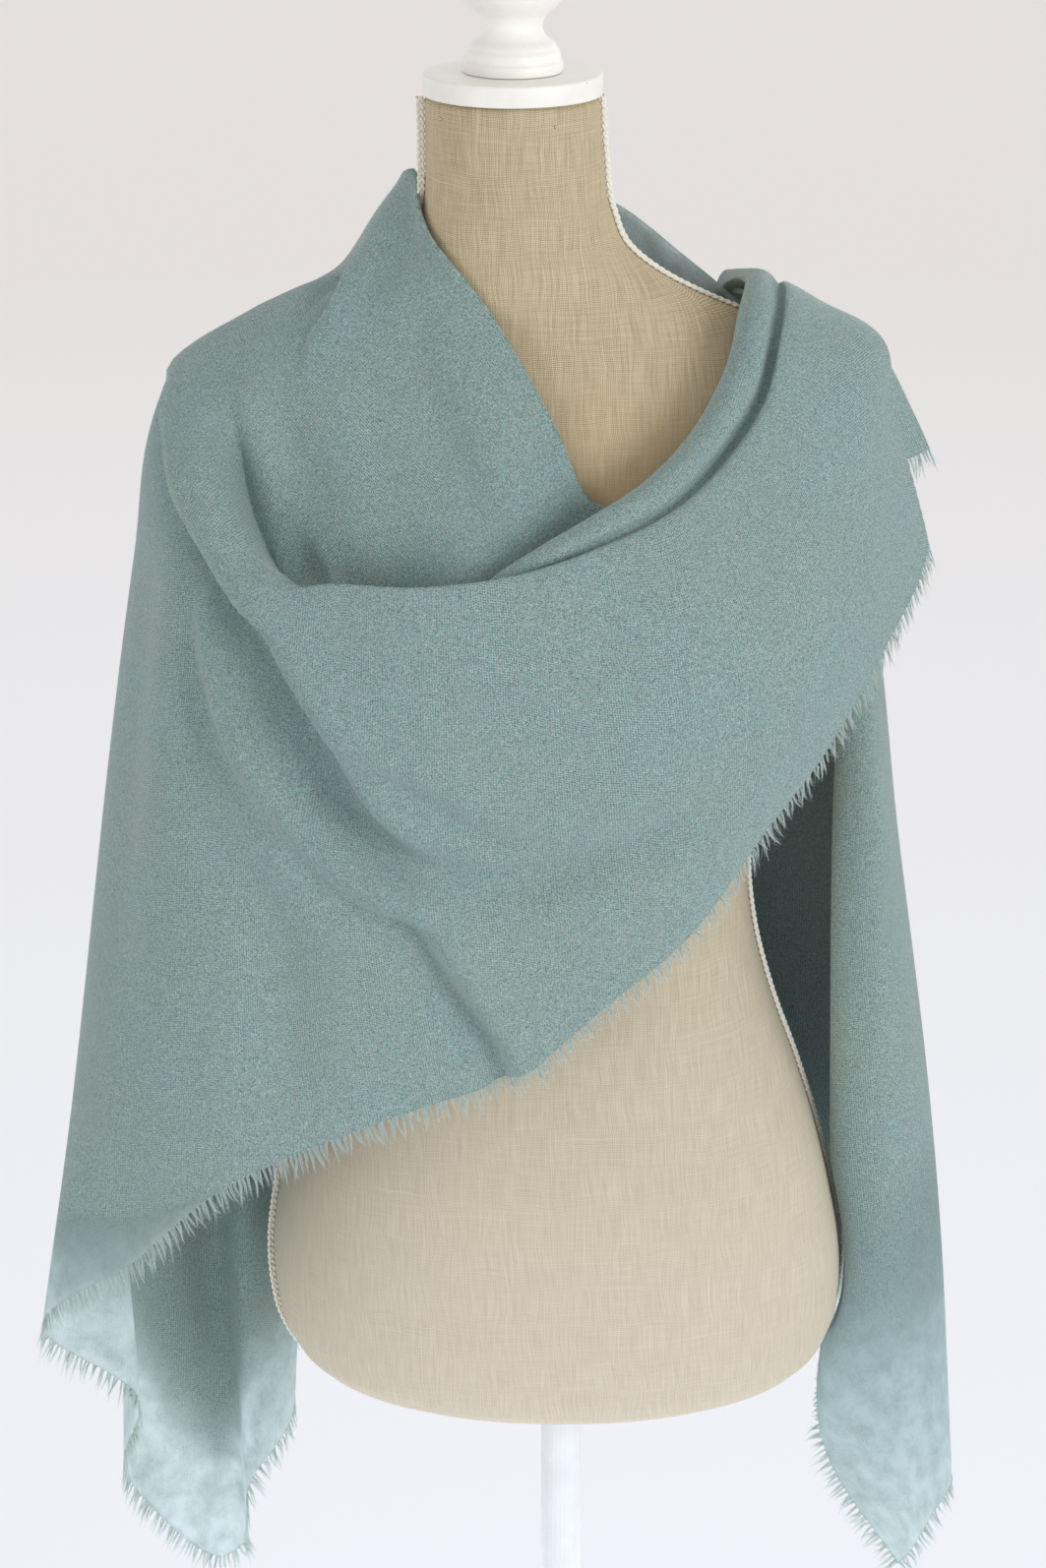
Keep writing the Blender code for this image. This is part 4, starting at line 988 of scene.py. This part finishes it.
def build_tacks(brass):
    """Small brass tacks in the linen, under the cap."""
    for number, (ring, turn) in enumerate(TACKS):
        at = Vector(form_point(ring, math.radians(turn)))
        verts, faces = turned(TACK, TACK_SIDES)
        tilt = Vector((0, 0, 1)).rotation_difference(Vector((at.x - NECK_LEAN * MM, at.y, 0)))
        verts = [tuple(tilt @ Vector(v) + at) for v in verts]
        add_mesh("tack_%d" % number, verts, faces, brass, "painted_wood")


# ---------------------------------------------------------------- the shawl and its fringe
def single_layer(sections, uv):
    """How much each point hangs free as one layer, where the light behind shows through."""
    at = [place(section) for section, _ in THIN_ENDS]
    reach = np.interp(sections, at, [mm for _, mm in THIN_ENDS])[:, None] * MM
    to_hem = uv[:, -1:, 1] - uv[:, :, 1]
    at_hem = np.clip((reach * THIN_START - to_hem) / (reach * THIN_FADE + MM), 0, 1) * (reach > 0)
    first, last = place("fall_side", 0.5), place("back_far", 0.5)
    middle = np.clip(np.minimum(sections - first, last - sections), 0, 1)[:, None]
    at_neck = NECK_GLOW * middle * np.clip(1 - uv[:, :, 1] / (NECK_GLOW_REACH * MM), 0, 1)
    return np.maximum(at_hem, at_neck)


def build_cloth(cashmere):
    """The shawl, and its net with the places of its rows and columns for the fringe."""
    verts, faces = skin_rings(form_rings(SMOOTH_SIDES, SMOOTH_STEPS))
    tree = BVHTree.FromPolygons([Vector(v) for v in verts], faces)
    net, sections, rails = shawl_net(tree)
    uv = cloth_uv(net)
    from_edge, from_hem = uv[:, :, 1] / MM, (uv[:, -1:, 1] - uv[:, :, 1]) / MM
    swell = EDGE_SWELL * bell(from_edge, EDGE_REACH)
    thinning = HEM_THINNING * bell(from_hem, HEM_REACH)
    verts, faces, owner = cloth_shell(net, (SHELL + swell - thinning) * MM)
    shawl = add_mesh("shawl", verts, faces, cashmere, "cashmere", *SHAWL_NODES, uv=uv.reshape(-1, 2)[owner])
    thin = single_layer(sections, uv).ravel()[owner]
    shawl.data.attributes.new("thin", "FLOAT", "POINT").data.foreach_set("value", thin)
    return shawl, net, sections, rails


def even_edge(edge, inside, facing):
    """Places of the tufts along an edge, each with the ways out of the cloth, along it and off it."""
    spacing = TUFT_SPACING * MM
    run = running(edge)
    even = np.arange(spacing / 2, run[-1], spacing)
    even = even + RANDOM.uniform(-TUFT_SHIFT, TUFT_SHIFT, len(even)) * spacing
    away = unit(edge - inside)
    along = unit(np.gradient(edge, axis=0))
    square = unit(away - along * np.sum(away * along, axis=1, keepdims=True))
    out = unit(away * (1 - TUFT_SQUARE) + square * TUFT_SQUARE)
    return spaced(edge, run, even), *(unit(spaced(way, run, even)) for way in (out, along, facing))


def fringe_strands(edge, inside, facing, short):
    """Tufts of yarn ends along an edge, each drawn to a soft tip; a first share of them is short."""
    paths, radii = [], []
    roots, away, along, out = even_edge(edge, inside, facing)
    t = np.linspace(0, 1, STRAND_STEPS)[:, None]
    taper = 1 - STRAND_TAPER * t[:, 0] ** 1.5
    for number, (root, way, side, up) in enumerate(zip(roots, away, along, out)):
        reach = FRINGE_REACH * MM * RANDOM.uniform(*TUFT_REACH)
        reach *= SHORT_TUFTS if number < short * len(roots) else 1.0
        lean, lift, curl = (RANDOM.normal(0, spread) for spread in TUFT_SWAY)
        tip = root + (way + side * lean + up * lift + np.array(TUFT_DROOP)) * reach
        for _ in range(RANDOM.integers(*TUFT_STRANDS)):
            loose = RANDOM.random() < LOOSE_SHARE
            kind = LOOSE_STRAND if loose else DRAWN_STRAND
            aside = side * (RANDOM.uniform(-STRAND_ASIDE, STRAND_ASIDE) * TUFT_SPACING * MM)
            start = root + aside + up * RANDOM.normal(0, STRAND_LIFT) * MM - way * STRAND_DEPTH * MM
            share = RANDOM.uniform(*STRAND_REACH)
            sway, rise = (RANDOM.normal(0, spread) for spread in kind["spread"])
            if loose:
                end = start + (way + side * sway + up * rise) * reach * share
            else:
                drawn = root + aside * (1 - STRAND_DRAWN * share) + (tip - root) * share
                end = drawn + (side * sway + up * rise) * MM
            ahead, beside = STRAND_BEND
            bend = start + way * reach * share * ahead + side * curl * reach * beside
            paths.append(start * (1 - t) ** 2 + bend * 2 * t * (1 - t) + end * t ** 2)
            radii.append(RANDOM.uniform(*kind["radius"]) * MM * taper)
    return np.array(paths), np.array(radii)


def build_fringes(net, sections, rails, yarn):
    """Fringe along the hem, the thrown end and the lower part of the free end."""
    out = net_normals(net)
    corner = int(np.searchsorted(sections, place("left_side")))
    low = int(np.searchsorted(rails, RAILS.index("middle")))
    hem, thrown, free = slice(None, corner + 1), slice(corner, None), slice(low, None)
    made = []
    for name, node, at, inside, short in (
        ("fringe_along_hem", "fringe_long_hem", (hem, -1), (hem, -2), 0.0),
        ("fringe_on_thrown_end", "fringe_thrown_end", (thrown, -1), (thrown, -2), 0.0),
        ("fringe_on_free_end", "fringe_free_end", (0, free), (1, free), SHORT_SHARE),
    ):
        paths, radii = fringe_strands(net[at], net[inside], out[at], short)
        verts, faces, uv = tubes(paths, radii, STRAND_SIDES)
        made.append(add_mesh(name, verts, faces, yarn, "fringe", node, uv=uv))
    return made


# ---------------------------------------------------------------- stage
def build_camera():
    lens = bpy.data.cameras.new("camera")
    lens.lens = CAMERA_LENS
    lens.sensor_width = CAMERA_SENSOR
    camera = add_object("camera", lens)
    camera.location = CAMERA_AT
    camera.rotation_euler = (math.radians(CAMERA_TILT), 0, 0)
    bpy.context.scene.camera = camera


def build_floor():
    """Large pale floor with a faint glow of its own, cooler and lighter near the stand."""
    n = Finish("floor")
    far = n.vectors("LENGTH", {0: n.object_place()}, "Value")
    glow = n.mix(n.between(far, *FLOOR_GLOW_REACH), *FLOOR_GLOW)
    grey = (FLOOR_GREY, FLOOR_GREY, FLOOR_GREY, 1.0)
    mesh = bpy.data.meshes.new("floor")
    corners = [(x * FLOOR_HALF, y * FLOOR_HALF, 0) for x, y in ((-1, -1), (1, -1), (1, 1), (-1, 1))]
    mesh.from_pydata(corners, [], [(0, 1, 2, 3)])
    mesh.materials.append(n.finished(grey, 0.9, Emission_Strength=1.0, Emission_Color=glow))
    floor = add_object("floor", mesh)
    floor.location.z = -MM / 2
    floor.visible_diffuse = False


def build_sky():
    """Even light from all round, stronger from behind the form."""
    world = bpy.data.worlds.new("world")
    n = Nodes(world)
    way = n.split(n.node("ShaderNodeTexCoord").outputs["Generated"])
    tones = n.node("ShaderNodeValToRGB", {"Fac": n.maths("MULTIPLY_ADD", way["Z"], 0.5, 0.5)})
    stops = tones.color_ramp.elements
    for at, _ in SKY[1:-1]:
        stops.new(at)
    for stop, (at, colour) in zip(stops, SKY):
        stop.position, stop.color = at, (*colour, 1.0)
    sky = n.tree.nodes["Background"]
    n.put(sky.inputs["Color"], tones.outputs["Color"])
    n.put(sky.inputs["Strength"], n.maths("MULTIPLY_ADD", way["Y"], SKY_BEHIND, 1.0))
    bpy.context.scene.world = world


def area_light(name, at, target, size, power, colour):
    """Round lamp that the camera doesn't see."""
    lamp = bpy.data.lights.new(name, "AREA")
    lamp.shape = "DISK"
    lamp.size = size
    lamp.energy = power
    lamp.color = colour
    lamp.spread = math.pi
    light = add_object(name, lamp)
    light.location = at
    light.rotation_euler = (Vector(target) - Vector(at)).to_track_quat("-Z", "Y").to_euler()
    light.visible_camera = False


def main():
    build_camera()
    build_floor()
    build_sky()
    for lamp in LAMPS:
        area_light(*lamp)
    linen, cashmere, yarn = linen_material(), cashmere_material(), fringe_material()
    cotton, brass = braid_material(), brass_material()
    paint = painted_wood_material("painted_wood", *WARM_PAINT)
    shaded_pole_paint = painted_wood_material("pole_paint_in_painted_shade", *POLE_PAINTED_SHADE)
    build_torso(linen)
    neck = lean_at(NECK_TOP)
    turned_piece("cap", CAP, neck, paint, "neck_cap")
    turned_piece("finial", rounded(KNOB), neck, paint, "knob")
    # the pole and foot get the darker, cooler copy of the white paint as painted shade
    for node in ("pole", "foot"):
        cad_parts[node].data.materials[0] = shaded_pole_paint
    build_braids(cotton)
    build_tacks(brass)
    shawl, net, sections, rails = build_cloth(cashmere)
    fringes = build_fringes(net, sections, rails, yarn)
    view = bpy.context.scene.view_settings
    view.view_transform = "Standard"
    view.look = "None"


main()
